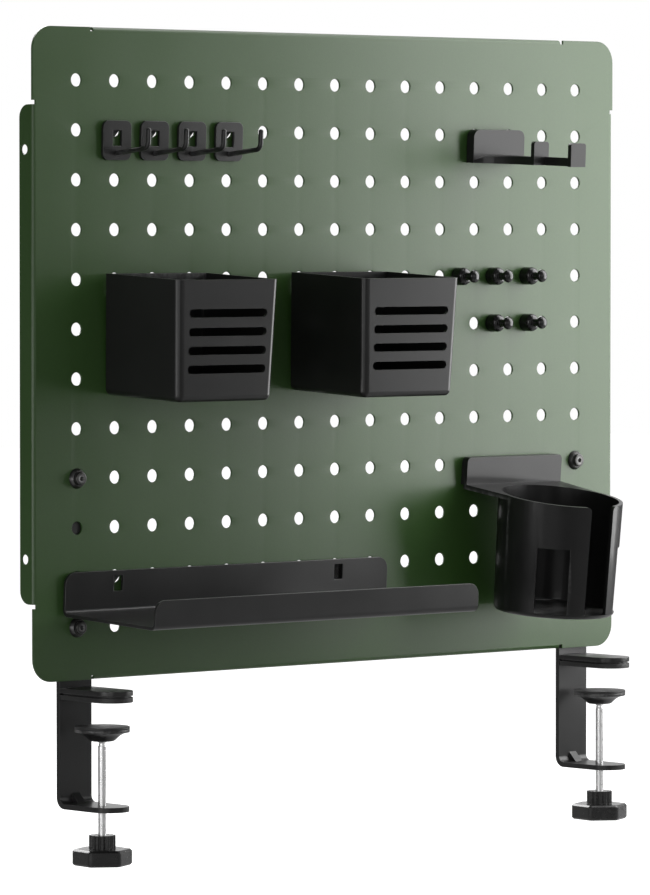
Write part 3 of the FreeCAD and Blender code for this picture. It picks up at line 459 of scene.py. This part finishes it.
def make_brushed_group():
    """Fine streaks drawn along one direction: a height and a brightness."""
    tree, given, out = new_tree("drawn_streaks", "ShaderNodeTree", [
        ("Streak stretch", "Vector", (1, 1, 1)),
        ("Streak size", "Float", 0.2 * MM),
    ], [("Height", "Float", None), ("Streaks", "Float", None)])
    place = add_node(tree, "ShaderNodeTexCoord").outputs["Object"]
    drawn = add_node(tree, "ShaderNodeMapping", {"Vector": place, "Scale": given["Streak stretch"]})
    fine = noise(tree, drawn.outputs["Vector"], given["Streak size"], 4.0)
    tree.links.new(fine, out["Height"])
    tree.links.new(stretch(tree, fine, 0.3, 0.7, 0, 1), out["Streaks"])
    return tree


GRAIN = make_grain_group()
TONE = make_tone_group()
BRUSHED = make_brushed_group()


# ---- Finishes -------------------------------------------------------------------------------

def make_finish(name, tone, grain, bump, **shader):
    """A finish whose colour comes from the tone group, and whose gloss and texture from the grain group."""
    material = bpy.data.materials.new(name)
    material.use_nodes = True
    tree = material.node_tree
    surface = tree.nodes["Principled BSDF"]
    for label, value in shader.items():
        surface.inputs[label.replace("_", " ")].default_value = value
    colour = add_node(tree, "ShaderNodeGroup", node_tree=TONE)
    texture = add_node(tree, "ShaderNodeGroup", node_tree=GRAIN)
    for group, values in ((colour, tone), (texture, grain)):
        for label, value in values.items():
            group.inputs[label].default_value = value
    relief = add_node(tree, "ShaderNodeBump", {
        "Height": texture.outputs["Height"], "Distance": bump, "Strength": 1.0})
    tree.links.new(colour.outputs["Colour"], surface.inputs["Base Color"])
    tree.links.new(texture.outputs["Roughness"], surface.inputs["Roughness"])
    tree.links.new(relief.outputs["Normal"], surface.inputs["Normal"])
    return material


def grey(level, tint=(1, 1, 1)):
    """A grey, or a hint of a tint."""
    return (level * tint[0], level * tint[1], level * tint[2], 1)


def make_green_coat():
    """Sage powder coat over steel sheet: fine orange peel under a satin gloss."""
    return make_finish(
        "sage_powder_coat",
        {"Colour": (0.026, 0.066, 0.013, 1), "Drift colour": (0.029, 0.070, 0.016, 1),
         "Drift size": 90 * MM, "Speckle size": 0.9 * MM, "Speckle amount": 0.12,
         "Edge colour": (0.075, 0.105, 0.065, 1), "Edge amount": 0.0, "Dust amount": 0.0},
        {"Grain size": 0.9 * MM, "Pitting": 0.3, "Blotch size": 45 * MM,
         "Smoothest": 0.32, "Roughest": 0.36},
        0.02 * MM)


def make_black_coat():
    """Black powder coat over bent steel, a little chalky, with a painted highlight along its edges."""
    return make_finish(
        "black_powder_coat",
        {"Colour": grey(0.011), "Drift colour": grey(0.015), "Drift size": 35 * MM,
         "Speckle size": 0.5 * MM, "Speckle amount": 0.15,
         "Edge colour": grey(0.16), "Edge amount": 0.6, "Dust amount": 0.02},
        {"Grain size": 0.5 * MM, "Pitting": 0.5, "Blotch size": 18 * MM,
         "Smoothest": 0.29, "Roughest": 0.34},
        0.006 * MM, Specular_IOR_Level=0.4)


def make_moulded_black(name, shine, lacquer):
    """Moulded black plastic with a fine spark-eroded grain, and a painted highlight along its edges."""
    return make_finish(
        name,
        {"Colour": grey(0.0095), "Drift colour": grey(0.012), "Drift size": 40 * MM,
         "Speckle size": 0.35 * MM, "Speckle amount": 0.12,
         "Edge colour": grey(0.16), "Edge amount": 0.6, "Dust amount": 0.02},
        {"Grain size": 0.28 * MM, "Pitting": 0.5, "Blotch size": 25 * MM,
         "Smoothest": 0.31, "Roughest": 0.34},
        0.0025 * MM, Specular_IOR_Level=shine, Coat_Weight=lacquer, Coat_Roughness=0.08)


def make_knob_black():
    """Hard black plastic of the knobs, with a painted highlight along its edges."""
    return make_finish(
        "knob_black",
        {"Colour": grey(0.008), "Drift colour": grey(0.011), "Drift size": 10 * MM,
         "Speckle size": 0.4 * MM, "Speckle amount": 0.15,
         "Edge colour": grey(0.12), "Edge amount": 0.5, "Dust amount": 0.06},
        {"Grain size": 0.6 * MM, "Pitting": 0.3, "Blotch size": 5 * MM,
         "Smoothest": 0.20, "Roughest": 0.30},
        0.01 * MM)


def make_glossy_black():
    """Polished black plastic, barely rippled, with faint handling marks in its gloss and a faint painted
    highlight along its edges.
    """
    return make_finish(
        "polished_black",
        {"Colour": grey(0.006), "Drift colour": grey(0.008), "Drift size": 15 * MM,
         "Speckle size": 0.4 * MM, "Speckle amount": 0.1,
         "Edge colour": grey(0.03), "Edge amount": 0.2, "Dust amount": 0.03},
        {"Grain size": 1.5 * MM, "Pitting": 0.1, "Blotch size": 6 * MM,
         "Smoothest": 0.14, "Roughest": 0.24},
        0.004 * MM)


def make_rubber():
    """Dull black rubber with a fine pebble, and a faint painted highlight along its edges."""
    return make_finish(
        "black_rubber",
        {"Colour": grey(0.010), "Drift colour": grey(0.013), "Drift size": 10 * MM,
         "Speckle size": 0.4 * MM, "Speckle amount": 0.35,
         "Edge colour": grey(0.03), "Edge amount": 0.4, "Dust amount": 0.05},
        {"Grain size": 0.35 * MM, "Pitting": 1.0, "Blotch size": 6 * MM,
         "Smoothest": 0.42, "Roughest": 0.6},
        0.06 * MM)


def make_oxide_steel():
    """Oil-blacked steel of the screws, washers and nuts, with a painted highlight along their edges."""
    return make_finish(
        "oil_blacked_steel",
        {"Colour": grey(0.030), "Drift colour": grey(0.045, (1, 0.97, 0.92)), "Drift size": 5 * MM,
         "Speckle size": 0.3 * MM, "Speckle amount": 0.3,
         "Edge colour": grey(0.35), "Edge amount": 0.6, "Dust amount": 0.0},
        {"Grain size": 0.3 * MM, "Pitting": 0.4, "Blotch size": 4 * MM,
         "Smoothest": 0.28, "Roughest": 0.42},
        0.01 * MM, Metallic=0.7)


def make_drawn_steel(name, colour, darker, stretched, smoothest, roughest):
    """Bare metal with streaks drawn along it, and a painted highlight along its edges."""
    material = make_finish(
        name,
        {"Colour": colour, "Drift colour": colour, "Drift size": 12 * MM,
         "Speckle size": 0.3 * MM, "Speckle amount": 0.06,
         "Edge colour": grey(0.8), "Edge amount": 0.3, "Dust amount": 0.0},
        {"Grain size": 0.3 * MM, "Pitting": 0.1, "Blotch size": 5 * MM,
         "Smoothest": smoothest, "Roughest": roughest},
        0.002 * MM, Metallic=1.0)
    tree = material.node_tree
    surface = tree.nodes["Principled BSDF"]
    streaks = add_node(tree, "ShaderNodeGroup", {"Streak stretch": stretched}, node_tree=BRUSHED)
    plain = surface.inputs["Base Color"].links[0].from_socket
    amount = stretch(tree, streaks.outputs["Streaks"], 0, 1, 0, 0.5)
    tree.links.new(mix_colours(tree, amount, plain, darker), surface.inputs["Base Color"])
    relief = surface.inputs["Normal"].links[0].from_node
    scored = add_node(tree, "ShaderNodeBump", {
        "Height": streaks.outputs["Height"], "Distance": 0.001 * MM, "Normal": relief.outputs["Normal"]})
    tree.links.new(scored.outputs["Normal"], surface.inputs["Normal"])
    return material


SAGE_COAT = make_green_coat()
BLACK_COAT = make_black_coat()
BIN_BLACK = make_moulded_black("bin_black", 0.33, 0.10)
HOLDER_BLACK = make_moulded_black("holder_black", 0.20, 0.18)
KNOB_BLACK = make_knob_black()
POLISHED_BLACK = make_glossy_black()
RUBBER = make_rubber()
OXIDE_STEEL = make_oxide_steel()
ZINC_STEEL = make_drawn_steel("zinc_plated_steel", grey(0.90), grey(0.66), (1, 1, 0.02), 0.24, 0.34)
NICKEL = make_drawn_steel("nickel_plate", grey(0.66, (1, 0.97, 0.9)), grey(0.45), (1, 0.1, 1), 0.14, 0.26)


# ---- Perforated sheet -----------------------------------------------------------------------

def make_perforating_tree():
    """Fills a flat outline back and front, punched with a grid of round holes with eased rims."""
    tree, given, out = new_tree("perforated_sheet", "GeometryNodeTree", [
        ("Outline", "Geometry", None),
        ("Columns", "Int", 2),
        ("Rows", "Int", 2),
        ("Pitch", "Float", 30 * MM),
        ("Hole radius", "Float", 4 * MM),
        ("Rim", "Float", 0.3 * MM),
        ("Thickness", "Float", 1.5 * MM),
        ("Segments", "Int", 24),
        ("Material", "Material", None),
    ], [("Sheet", "Geometry", None)])
    half = calculate(tree, "DIVIDE", given["Thickness"], 2)
    wide = calculate(tree, "MULTIPLY", calculate(tree, "SUBTRACT", given["Columns"], 1), given["Pitch"])
    tall = calculate(tree, "MULTIPLY", calculate(tree, "SUBTRACT", given["Rows"], 1), given["Pitch"])
    places = add_node(tree, "GeometryNodeMeshGrid", {
        "Size X": wide,
        "Size Y": tall,
        "Vertices X": given["Columns"],
        "Vertices Y": given["Rows"],
    }).outputs["Mesh"]

    def at_each_hole(shape):
        held = add_node(tree, "GeometryNodeInstanceOnPoints", {"Points": places, "Instance": shape})
        return add_node(tree, "GeometryNodeRealizeInstances", {"Geometry": held.outputs[0]}).outputs[0]

    edge = calculate(tree, "ADD", given["Hole radius"], given["Rim"])
    circle = add_node(tree, "GeometryNodeCurvePrimitiveCircle", {
        "Resolution": given["Segments"], "Radius": edge}).outputs["Curve"]
    border = add_node(tree, "GeometryNodeMeshToCurve", {"Mesh": given["Outline"]}).outputs["Curve"]
    curves = add_node(tree, "GeometryNodeJoinGeometry")
    tree.links.new(border, curves.inputs[0])
    tree.links.new(at_each_hole(circle), curves.inputs[0])
    skin = add_node(tree, "GeometryNodeFillCurve", {"Curve": curves.outputs[0]}).outputs["Mesh"]
    front = raised(tree, skin, half)
    turned = add_node(tree, "GeometryNodeFlipFaces", {"Mesh": skin}).outputs[0]
    back = raised(tree, turned, calculate(tree, "MULTIPLY", half, -1))

    # One hole: a strip of four rows bent round. Its outer rows, at Y 1/2 and -1/2, lie on the faces,
    # and its inner rows, at Y 1/6 and -1/6, lie in the hole.
    around = calculate(tree, "ADD", given["Segments"], 1)
    strip = add_node(tree, "GeometryNodeMeshGrid", {
        "Size X": 1.0, "Size Y": 1.0, "Vertices X": around, "Vertices Y": 4}).outputs["Mesh"]
    spot = grid_place(tree)
    angle = calculate(tree, "MULTIPLY", calculate(tree, "ADD", spot["X"], 0.5), math.tau)
    outer = calculate(tree, "GREATER_THAN", calculate(tree, "ABSOLUTE", spot["Y"]), 0.3)
    radius = calculate(tree, "MULTIPLY_ADD", outer, given["Rim"], given["Hole radius"])
    inset = calculate(tree, "MULTIPLY", calculate(tree, "SUBTRACT", 1, outer), given["Rim"])
    depth = calculate(tree, "SUBTRACT", half, inset)
    side = calculate(tree, "SIGN", spot["Y"])
    height = calculate(tree, "MULTIPLY", side, calculate(tree, "MULTIPLY", depth, -1))
    rim = wound_round(tree, strip, radius, angle, height)
    sheet = welded(tree, (front, back, at_each_hole(rim)), 0.005 * MM)
    finish_tree(tree, sheet, given["Material"], out[0])
    return tree


PERFORATING = make_perforating_tree()


def sheet_plate(name, border, open_edges, columns=0, rows=0, pitch=0.0, hole_radius=0.0):
    """A flat plate of the sheet. Its border runs anticlockwise, and its open edges carry on elsewhere."""
    count = len(border)
    mesh = bpy.data.meshes.new(name)
    mesh.from_pydata([(x, y, 0) for x, y in border], [(k, (k + 1) % count) for k in range(count)], [])
    plate = grown(new_piece(name, mesh), PERFORATING, {
        "Columns": columns, "Rows": rows, "Pitch": pitch, "Hole radius": hole_radius, "Rim": HOLE_RIM,
        "Thickness": SHEET, "Segments": HOLE_SEGMENTS, "Material": SAGE_COAT})
    points = [(x, y, side * SHEET / 2) for x, y in border for side in (1, -1)]
    walled = [k for k in range(count) if k not in open_edges]
    faces = [(2 * k, 2 * k + 1, (2 * k + 3) % (2 * count), (2 * k + 2) % (2 * count)) for k in walled]
    return joined(name, [plate, new_piece("wall", mesh_from("wall", points, faces))])


def folded_flange(half, reach, columns=0):
    """One folded edge of the sheet, as it is at the right: the bend, and its leg with rounded ends."""
    low = BEND_RADIUS - FLANGE_HOLE_INSET
    high = FLANGE_DEEP - FLANGE_HOLE_INSET
    middle = high - FLANGE_ROUND
    right_end = arc((reach - FLANGE_ROUND, middle), FLANGE_ROUND, 0, 90, CORNER_STEPS)
    left_end = arc((FLANGE_ROUND - reach, middle), FLANGE_ROUND, 90, 180, CORNER_STEPS)
    border = [(-reach, low), (reach, low)] + right_end + left_end
    leg = sheet_plate("leg", border, [0], columns, min(columns, 1), FLANGE_HOLE_SPAN, FLANGE_HOLE_RADIUS)
    place = Matrix.Translation((half - SHEET / 2, FLANGE_HOLE_INSET - SHEET, 0))
    placed(leg, place @ Matrix(((0, 0, 1, 0), (0, 1, 0, 0), (-1, 0, 0, 0), (0, 0, 0, 1))))
    centre = (half - BEND_RADIUS, BEND_RADIUS - SHEET)
    outside = arc(centre, BEND_RADIUS, -90, 0, BEND_STEPS)
    inside = arc(centre, BEND_RADIUS - SHEET, -90, 0, BEND_STEPS)
    points = [(x, y, z) for z in (-reach, reach) for line in (outside, inside) for x, y in line]
    row = BEND_STEPS + 1
    faces = []
    for k in range(BEND_STEPS):
        corners = [(line * row + k, line * row + k + 1) for line in range(4)]
        for first, second in ((0, 2), (1, 3), (0, 1), (2, 3)):
            faces.append(corners[first] + corners[second][::-1])
    return joined("flange", [leg, new_piece("bend", mesh_from("bend", points, faces))])


def make_panel():
    """The perforated face with its four folded edges, welded into one sheet."""
    low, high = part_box("pegboard_panel")
    half_wide = (high.x - low.x) / 2
    half_tall = (high.z - low.z) / 2
    fold = BEND_RADIUS
    notch = (half_wide, SIDE_FLANGE_HALF + FLANGE_GAP)
    tip = (END_FLANGE_HALF + FLANGE_GAP, half_tall)
    corner = [(half_wide - fold, SIDE_FLANGE_HALF), (notch[0] - fold, notch[1]), notch]
    centre = (half_wide - CORNER_RADIUS, half_tall - CORNER_RADIUS)
    corner += arc(centre, CORNER_RADIUS, 0, 90, CORNER_STEPS)
    corner += [tip, (tip[0], tip[1] - fold), (END_FLANGE_HALF, half_tall - fold)]
    border, open_edges = [], []
    for x_sign, y_sign in ((1, 1), (-1, 1), (-1, -1), (1, -1)):
        run = [(x_sign * x, y_sign * y) for x, y in corner]
        border += run if x_sign * y_sign > 0 else run[::-1]
        open_edges.append(len(border) - 1)
    face = sheet_plate("face", border, open_edges, HOLE_COLUMNS, HOLE_ROWS, HOLE_PITCH, HOLE_RADIUS)
    placed(face, Matrix.Translation((0, -SHEET / 2, 0)) @ FACING_FRONT)
    pieces = [face]
    for quarter in range(4):
        if quarter % 2 == 0:
            flange = folded_flange(half_wide, SIDE_FLANGE_HALF, 2)
        else:
            flange = folded_flange(half_tall, END_FLANGE_HALF)
        pieces.append(placed(flange, Matrix.Rotation(quarter * math.pi / 2, 4, "Y")))
    panel = cleaned(joined("panel", pieces), 2e-6, 0, outward=True)
    placed(panel, Matrix.Translation((0, 0, (low.z + high.z) / 2)))
    return installed(rounded(panel, SHEET_EDGE, SHARP_SHEET), "pegboard_panel", SAGE_COAT)


make_panel()


# ---- Threads and fasteners ------------------------------------------------------------------

def make_thread_tree():
    """A round rod with a rolled thread: a strip wound into a helix, flat at both ends."""
    tree, given, out = new_tree("rolled_thread", "GeometryNodeTree", [
        ("Base", "Geometry", None),
        ("Radius", "Float", 2.5 * MM),
        ("Depth", "Float", 0.15 * MM),
        ("Pitch", "Float", 0.8 * MM),
        ("Length", "Float", 60 * MM),
        ("Segments", "Int", 24),
        ("Material", "Material", None),
    ], [("Rod", "Geometry", None)])
    turns = calculate(tree, "CEIL", calculate(tree, "DIVIDE", given["Length"], given["Pitch"]))
    rows = calculate(tree, "MULTIPLY", calculate(tree, "ADD", turns, 1), 2)
    strip = add_node(tree, "GeometryNodeMeshGrid", {
        "Size X": 1.0,
        "Size Y": rows,
        "Vertices X": calculate(tree, "ADD", given["Segments"], 1),
        "Vertices Y": calculate(tree, "ADD", rows, 1),
    }).outputs["Mesh"]
    spot = grid_place(tree)
    around = calculate(tree, "ADD", spot["X"], 0.5)
    row = calculate(tree, "ROUND", calculate(tree, "MULTIPLY_ADD", rows, 0.5, spot["Y"]))
    root = calculate(tree, "MODULO", row, 2)
    radius = calculate(tree, "SUBTRACT", given["Radius"], calculate(tree, "MULTIPLY", root, given["Depth"]))
    climb = calculate(tree, "SUBTRACT", calculate(tree, "MULTIPLY_ADD", row, 0.5, around), 1)
    rise = calculate(tree, "MULTIPLY", climb, given["Pitch"])
    height = calculate(tree, "MINIMUM", calculate(tree, "MAXIMUM", rise, 0), given["Length"])
    angle = calculate(tree, "MULTIPLY", around, math.tau)
    rod = wound_round(tree, strip, radius, angle, height)
    disc = add_node(tree, "GeometryNodeMeshCircle", {
        "Vertices": given["Segments"], "Radius": given["Radius"]}, fill_type="NGON").outputs["Mesh"]
    lid = raised(tree, disc, given["Length"])
    finish_tree(tree, welded(tree, (rod, disc, lid), 0.002 * MM), given["Material"], out[0])
    return tree


def make_bolt_tree():
    """Sets a shape at the four corners where the panel is bolted to its bars."""
    tree, given, out = new_tree("bolt_pattern", "GeometryNodeTree", [
        ("Shape", "Geometry", None),
        ("Across", "Float", 420 * MM),
        ("Apart", "Float", 150 * MM),
        ("Turn", "Float", 0.0),
        ("Seed", "Int", 5),
        ("Material", "Material", None),
    ], [("Set", "Geometry", None)])
    corners = add_node(tree, "GeometryNodeMeshGrid", {
        "Size X": given["Across"],
        "Size Y": given["Apart"],
        "Vertices X": 2,
        "Vertices Y": 2,
    }).outputs["Mesh"]
    chance = add_node(tree, "FunctionNodeRandomValue", {"Seed": given["Seed"]}, data_type="FLOAT")
    # The fourth socket is the float range's upper end.
    chance.inputs[3].default_value = math.tau
    angle = calculate(tree, "MULTIPLY", chance.outputs[1], given["Turn"])
    spin = add_node(tree, "ShaderNodeCombineXYZ", {"Z": angle}).outputs[0]
    held = add_node(tree, "GeometryNodeInstanceOnPoints", {
        "Points": corners, "Instance": given["Shape"], "Rotation": spin}).outputs[0]
    finish_tree(tree, held, given["Material"], out[0])
    return tree


THREAD = make_thread_tree()
BOLT_PATTERN = make_bolt_tree()


def threaded_rod(radius, depth, pitch, length, material):
    """A threaded rod standing on the origin."""
    rod = grown(new_piece("rod", bpy.data.meshes.new("rod")), THREAD, {
        "Radius": radius, "Depth": depth, "Pitch": pitch, "Length": length,
        "Segments": THREAD_SEGMENTS, "Material": material})
    return cleaned(rod, 1e-7, 0, outward=True)


def bolted(shape, node, turn, width):
    """Repeats one fastener at the four bolt places, and puts the set in place of its CAD node."""
    low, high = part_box(node)
    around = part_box("panel_washers")
    across = around[1].x - around[0].x - WASHER_WIDE
    apart = around[1].z - around[0].z - WASHER_WIDE
    fasteners = grown(rounded(shape, width, SHARP_FASTENER), BOLT_PATTERN, {
        "Across": across, "Apart": apart, "Turn": turn, "Seed": TURN_SEED, "Material": OXIDE_STEEL})
    place = Matrix.Translation((0, -SHEET, (low.z + high.z) / 2))
    return installed(placed(fasteners, place @ FACING_FRONT), node, OXIDE_STEEL)


def make_fasteners():
    """Screws, washers and nuts. Heights are in mm in front of the panel, so the nut's are below 0."""
    socket = [(0, 3.2), (1.3, 3.2, 1), (1.3, 4.5, 1), (1.42, 4.6, 1)]
    crown = [(3.3, 4.6), (3.7, 4.5), (3.95, 4.2), (4, 3.9), (4, 2.7), (3.9, 2.6)]
    shank = [(2, 2.6), (2, -7), (0, -7)]
    tip = threaded_rod(SCREW_RADIUS, SCREW_THREAD, SCREW_PITCH, SCREW_TIP, OXIDE_STEEL)
    placed(tip, Matrix.Translation((0, 0, SCREW_TIP_PLACE)))
    screw = joined("screw", [lathe("head", socket + crown + shank), tip])
    bolted(screw, "panel_screws", turn=1.0, width=0)
    cone = [(2.15, 2.6), (4.7, 2.6), (5, 2.45), (6.1, 0.35), (6.2, 0)]
    shoulder = [(3.8, 0), (3.8, -1.5), (2.15, -1.5)]
    bolted(lathe("washer", cone + shoulder), "panel_washers", turn=0.0, width=WASHER_EDGE)
    inner_end = [(2.15, -4.7), (3.5, -4.7)]
    flats = [(3.5, -5, 1), (3.5, -7.6, 1)]
    outer_end = [(3.5, -7.9), (2.15, -7.9)]
    nut = placed(lathe("nut", inner_end + flats + outer_end), Matrix.Rotation(math.pi / 6, 4, "Z"))
    bolted(nut, "panel_nuts", turn=0.0, width=NUT_EDGE)


def make_spindle(side):
    """The clamp's long screw: a rolled thread with a ball at its top end."""
    node = f"clamp_screw_{side}"
    low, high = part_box(node)
    centre = (low + high) / 2
    tall = (high.z - low.z) / MM
    neck = [(0, tall - 9), (2.1, tall - 9), (2.1, tall - 6.9)]
    ball = arc((0, tall - 3.4), 3.4, -60, 90, 10)
    top = lathe("ball", neck + ball)
    rod = threaded_rod(SPINDLE_RADIUS, SPINDLE_THREAD, SPINDLE_PITCH, (tall - 8) * MM, ZINC_STEEL)
    spindle = placed(joined("spindle", [rod, top]), Matrix.Translation((centre.x, centre.y, low.z)))
    return installed(rounded(spindle, 0), node, ZINC_STEEL)


def make_swivel_pad(side):
    """The pad's disc and its domed hub round the spindle's ball. Heights are in mm from the rubber."""
    node = f"swivel_pad_{side}"
    low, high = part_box(node)
    disc = [(0, 0), (16.4, 0), (16.7, -0.25), (16.7, -1.7), (16.4, -2.0)]
    hub = [(14.6, -2.3), (12.4, -3.1), (10.6, -4.3), (9.2, -5.6), (7.9, -6.8), (7.0, -7.3)]
    mouth = [(5.8, -7.5), (2.9, -7.5), (2.9, -7.2)]
    ball_seat = arc((0, -5.7), 3.3, -27, 90, 10)
    pad = lathe("pad", disc + hub + mouth + ball_seat, TURNED_SEGMENTS)
    centre = (low + high) / 2
    placed(pad, Matrix.Translation((centre.x, centre.y, high.z)))
    return installed(rounded(pad, 0), node, HOLDER_BLACK)


def make_peg(number):
    """A turned peg with a domed shoulder, a neck and a flattened head. Heights are in mm from the panel."""
    node = f"magnet_peg_{number}"
    low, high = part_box(node)
    magnet_well = [(0, 3), (4.05, 3), (4.05, 0.15), (4.2, 0), (5.35, 0)]
    foot = arc((5.35, 0.3), 0.3, -60, 0, 3)
    shoulder = arc((2.25, 5.6), 3.4, 0, 82, 12)
    neck = [(2.4, 9.2), (2.4, 12.9)]
    head = [(4 * across, 15.3 + 2.7 * along) for across, along in arc((0, 0), 1, -52, 90, 16)]
    peg = lathe("peg", magnet_well + foot + shoulder + neck + head, TURNED_SEGMENTS)
    centre = (low + high) / 2
    placed(peg, Matrix.Translation((centre.x, high.y, centre.z)) @ FACING_FRONT)
    return installed(rounded(peg, 0), node, POLISHED_BLACK)


make_fasteners()
for side in SIDES:
    make_spindle(side)
    make_swivel_pad(side)
for number in range(1, 6):
    make_peg(number)


# ---- Plates, bars and mouldings -------------------------------------------------------------

def refine(node, width, material):
    """The CAD node's own shape, with its edges eased."""
    return installed(rounded(copy_of(node), width), node, material)


def make_hanger():
    """The hanger, with its arm cut away to a rib at the right between its two tabs."""
    hanger = copy_of("headphone_hanger")
    low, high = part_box("headphone_hanger")
    corners = [(x, y, z) for x in (-ARM_WIDE / 2 - MM, ARM_WIDE / 2 - RIB_THICK)
               for y in (-END_TAB_BACK, -MID_TAB_FRONT) for z in (-MM, ARM_THICK + MM)]
    # The block's corners run low to high in X, then Y, then Z.
    sides = [(0, 1, 3, 2), (4, 6, 7, 5), (0, 4, 5, 1), (2, 3, 7, 6), (0, 2, 6, 4), (1, 5, 7, 3)]
    block = new_piece("block", mesh_from("block", corners, sides))
    foot = ((low.x + high.x) / 2, -SHEET - HANGER_PLAY, high.z - HANGER_TALL * math.cos(HANGER_TILT))
    placed(block, Matrix.Translation(foot) @ Matrix.Rotation(HANGER_TILT, 4, "X"))
    cut = hanger.modifiers.new("cut", "BOOLEAN")
    cut.object = block
    flattened(hanger)
    bpy.data.objects.remove(block)
    return installed(rounded(cleaned(hanger), HANGER_EDGE), "headphone_hanger", HOLDER_BLACK)


make_hanger()
for side in SIDES:
    refine(f"clamp_bar_{side}", STEEL_EDGE, BLACK_COAT)
    refine(f"clamp_jaw_{side}", STEEL_EDGE, BLACK_COAT)
    refine(f"jaw_pad_{side}", RUBBER_EDGE, RUBBER)
    refine(f"pad_facing_{side}", RUBBER_EDGE, RUBBER)
    refine(f"screw_knob_{side}", KNOB_EDGE, KNOB_BLACK)
for number in range(1, 5):
    refine(f"hook_plate_{number}", STEEL_EDGE, BLACK_COAT)
    refine(f"hook_rod_{number}", 0, BLACK_COAT)
for number in range(1, 6):
    refine(f"magnet_disc_{number}", MAGNET_EDGE, NICKEL)
for side in SIDES:
    refine(f"bin_{side}", BIN_EDGE, BIN_BLACK)
refine("desk_tray", STEEL_EDGE, BLACK_COAT)
refine("cup_holder", CUP_EDGE, HOLDER_BLACK)


# ---- Room -----------------------------------------------------------------------------------

def aimed(location, target):
    """The turn that points an object's -Z at a target."""
    return (Vector(target) - Vector(location)).to_track_quat("-Z", "Y").to_euler()


def add_softbox(name, location, target, wide, tall, radiance):
    """A rectangular soft light of an even brightness."""
    light = bpy.data.lights.new(name, "AREA")
    light.shape = "RECTANGLE"
    light.size = wide
    light.size_y = tall
    light.energy = radiance * math.pi * wide * tall
    lamp = bpy.data.objects.new(name, light)
    lamp.location = location
    lamp.rotation_euler = aimed(location, target)
    lamp.visible_camera = False
    bpy.context.scene.collection.objects.link(lamp)


def make_world():
    """A white room: a bright wall behind the board, and a dim one before it."""
    world = bpy.data.worlds.new("white_room")
    bpy.context.scene.world = world
    world.use_nodes = True
    tree = world.node_tree
    tree.nodes.clear()
    seen = add_node(tree, "ShaderNodeLightPath").outputs["Is Camera Ray"]
    towards = add_node(tree, "ShaderNodeTexCoord").outputs["Generated"]
    behind = add_node(tree, "ShaderNodeVectorMath", {0: towards, 1: WALL_PLACE}, operation="DOT_PRODUCT")
    wall = stretch(tree, behind.outputs["Value"], WALL_STARTS, WALL_FULL, ROOM_LIGHT, WALL_LIGHT)
    strength = calculate(tree, "MAXIMUM", wall, seen)
    white = add_node(tree, "ShaderNodeBackground", {"Color": grey(1.0), "Strength": strength})
    ending = add_node(tree, "ShaderNodeOutputWorld")
    tree.links.new(white.outputs[0], ending.inputs["Surface"])


def make_floor():
    """A plain pale floor that reads as white paper."""
    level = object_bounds()[0].z - KNOB_ROOM
    points = [(x * FLOOR_HALF, y * FLOOR_HALF, level) for x, y in ((-1, -1), (1, -1), (1, 1), (-1, 1))]
    floor = new_piece("floor", mesh_from("floor", points, [(0, 1, 2, 3)]))
    paper = bpy.data.materials.new("pale_paper")
    paper.use_nodes = True
    tree = paper.node_tree
    surface = tree.nodes["Principled BSDF"]
    surface.inputs["Base Color"].default_value = grey(PAPER_TONE)
    surface.inputs["Roughness"].default_value = 0.9
    surface.inputs["Specular IOR Level"].default_value = 0.1
    surface.inputs["Emission Color"].default_value = grey(1.0)
    seen = add_node(tree, "ShaderNodeLightPath").outputs["Is Camera Ray"]
    tree.links.new(calculate(tree, "MULTIPLY", seen, PAPER_GLOW), surface.inputs["Emission Strength"])
    floor.data.materials.append(paper)


def make_camera():
    """A long lens, a little above the board's middle, that looks from the left of it."""
    lens = bpy.data.cameras.new("camera")
    lens.lens = CAMERA_LENS
    lens.sensor_width = CAMERA_SENSOR
    lens.clip_start = 0.05
    camera = bpy.data.objects.new("camera", lens)
    camera.location = CAMERA_PLACE
    camera.rotation_euler = (math.radians(90 - CAMERA_TILT), 0, math.radians(-CAMERA_TURN))
    bpy.context.scene.collection.objects.link(camera)
    bpy.context.scene.camera = camera


make_world()
make_floor()
make_camera()
add_softbox(
    "right_softbox", location=(0.61, -0.29, 0.37), target=(0.15, 0, 0.28),
    wide=0.52, tall=0.78, radiance=6.0)
add_softbox(
    "front_strip", location=(-1.9, -1.5, 0.4), target=(0, 0, 0.1),
    wide=1.0, tall=1.6, radiance=2.4)
add_softbox(
    "low_left_fill", location=(-1.3, -0.15, 0.05), target=(-0.2, 0, 0),
    wide=0.6, tall=0.28, radiance=4.0)
add_softbox(
    "back_softbox", location=(0.15, 1.3, 1.15), target=(0, 0, 0.2),
    wide=1.2, tall=1.0, radiance=9.0)
add_softbox(
    "top_softbox", location=(0.6, -0.12, 1.25), target=(0, 0, 0.2),
    wide=0.9, tall=0.9, radiance=3.5)
add_softbox(
    "front_fill", location=(0.1, -2.6, 0.5), target=(0, 0, 0.2),
    wide=1.8, tall=1.4, radiance=0.6)
bpy.context.scene.view_settings.view_transform = "Standard"
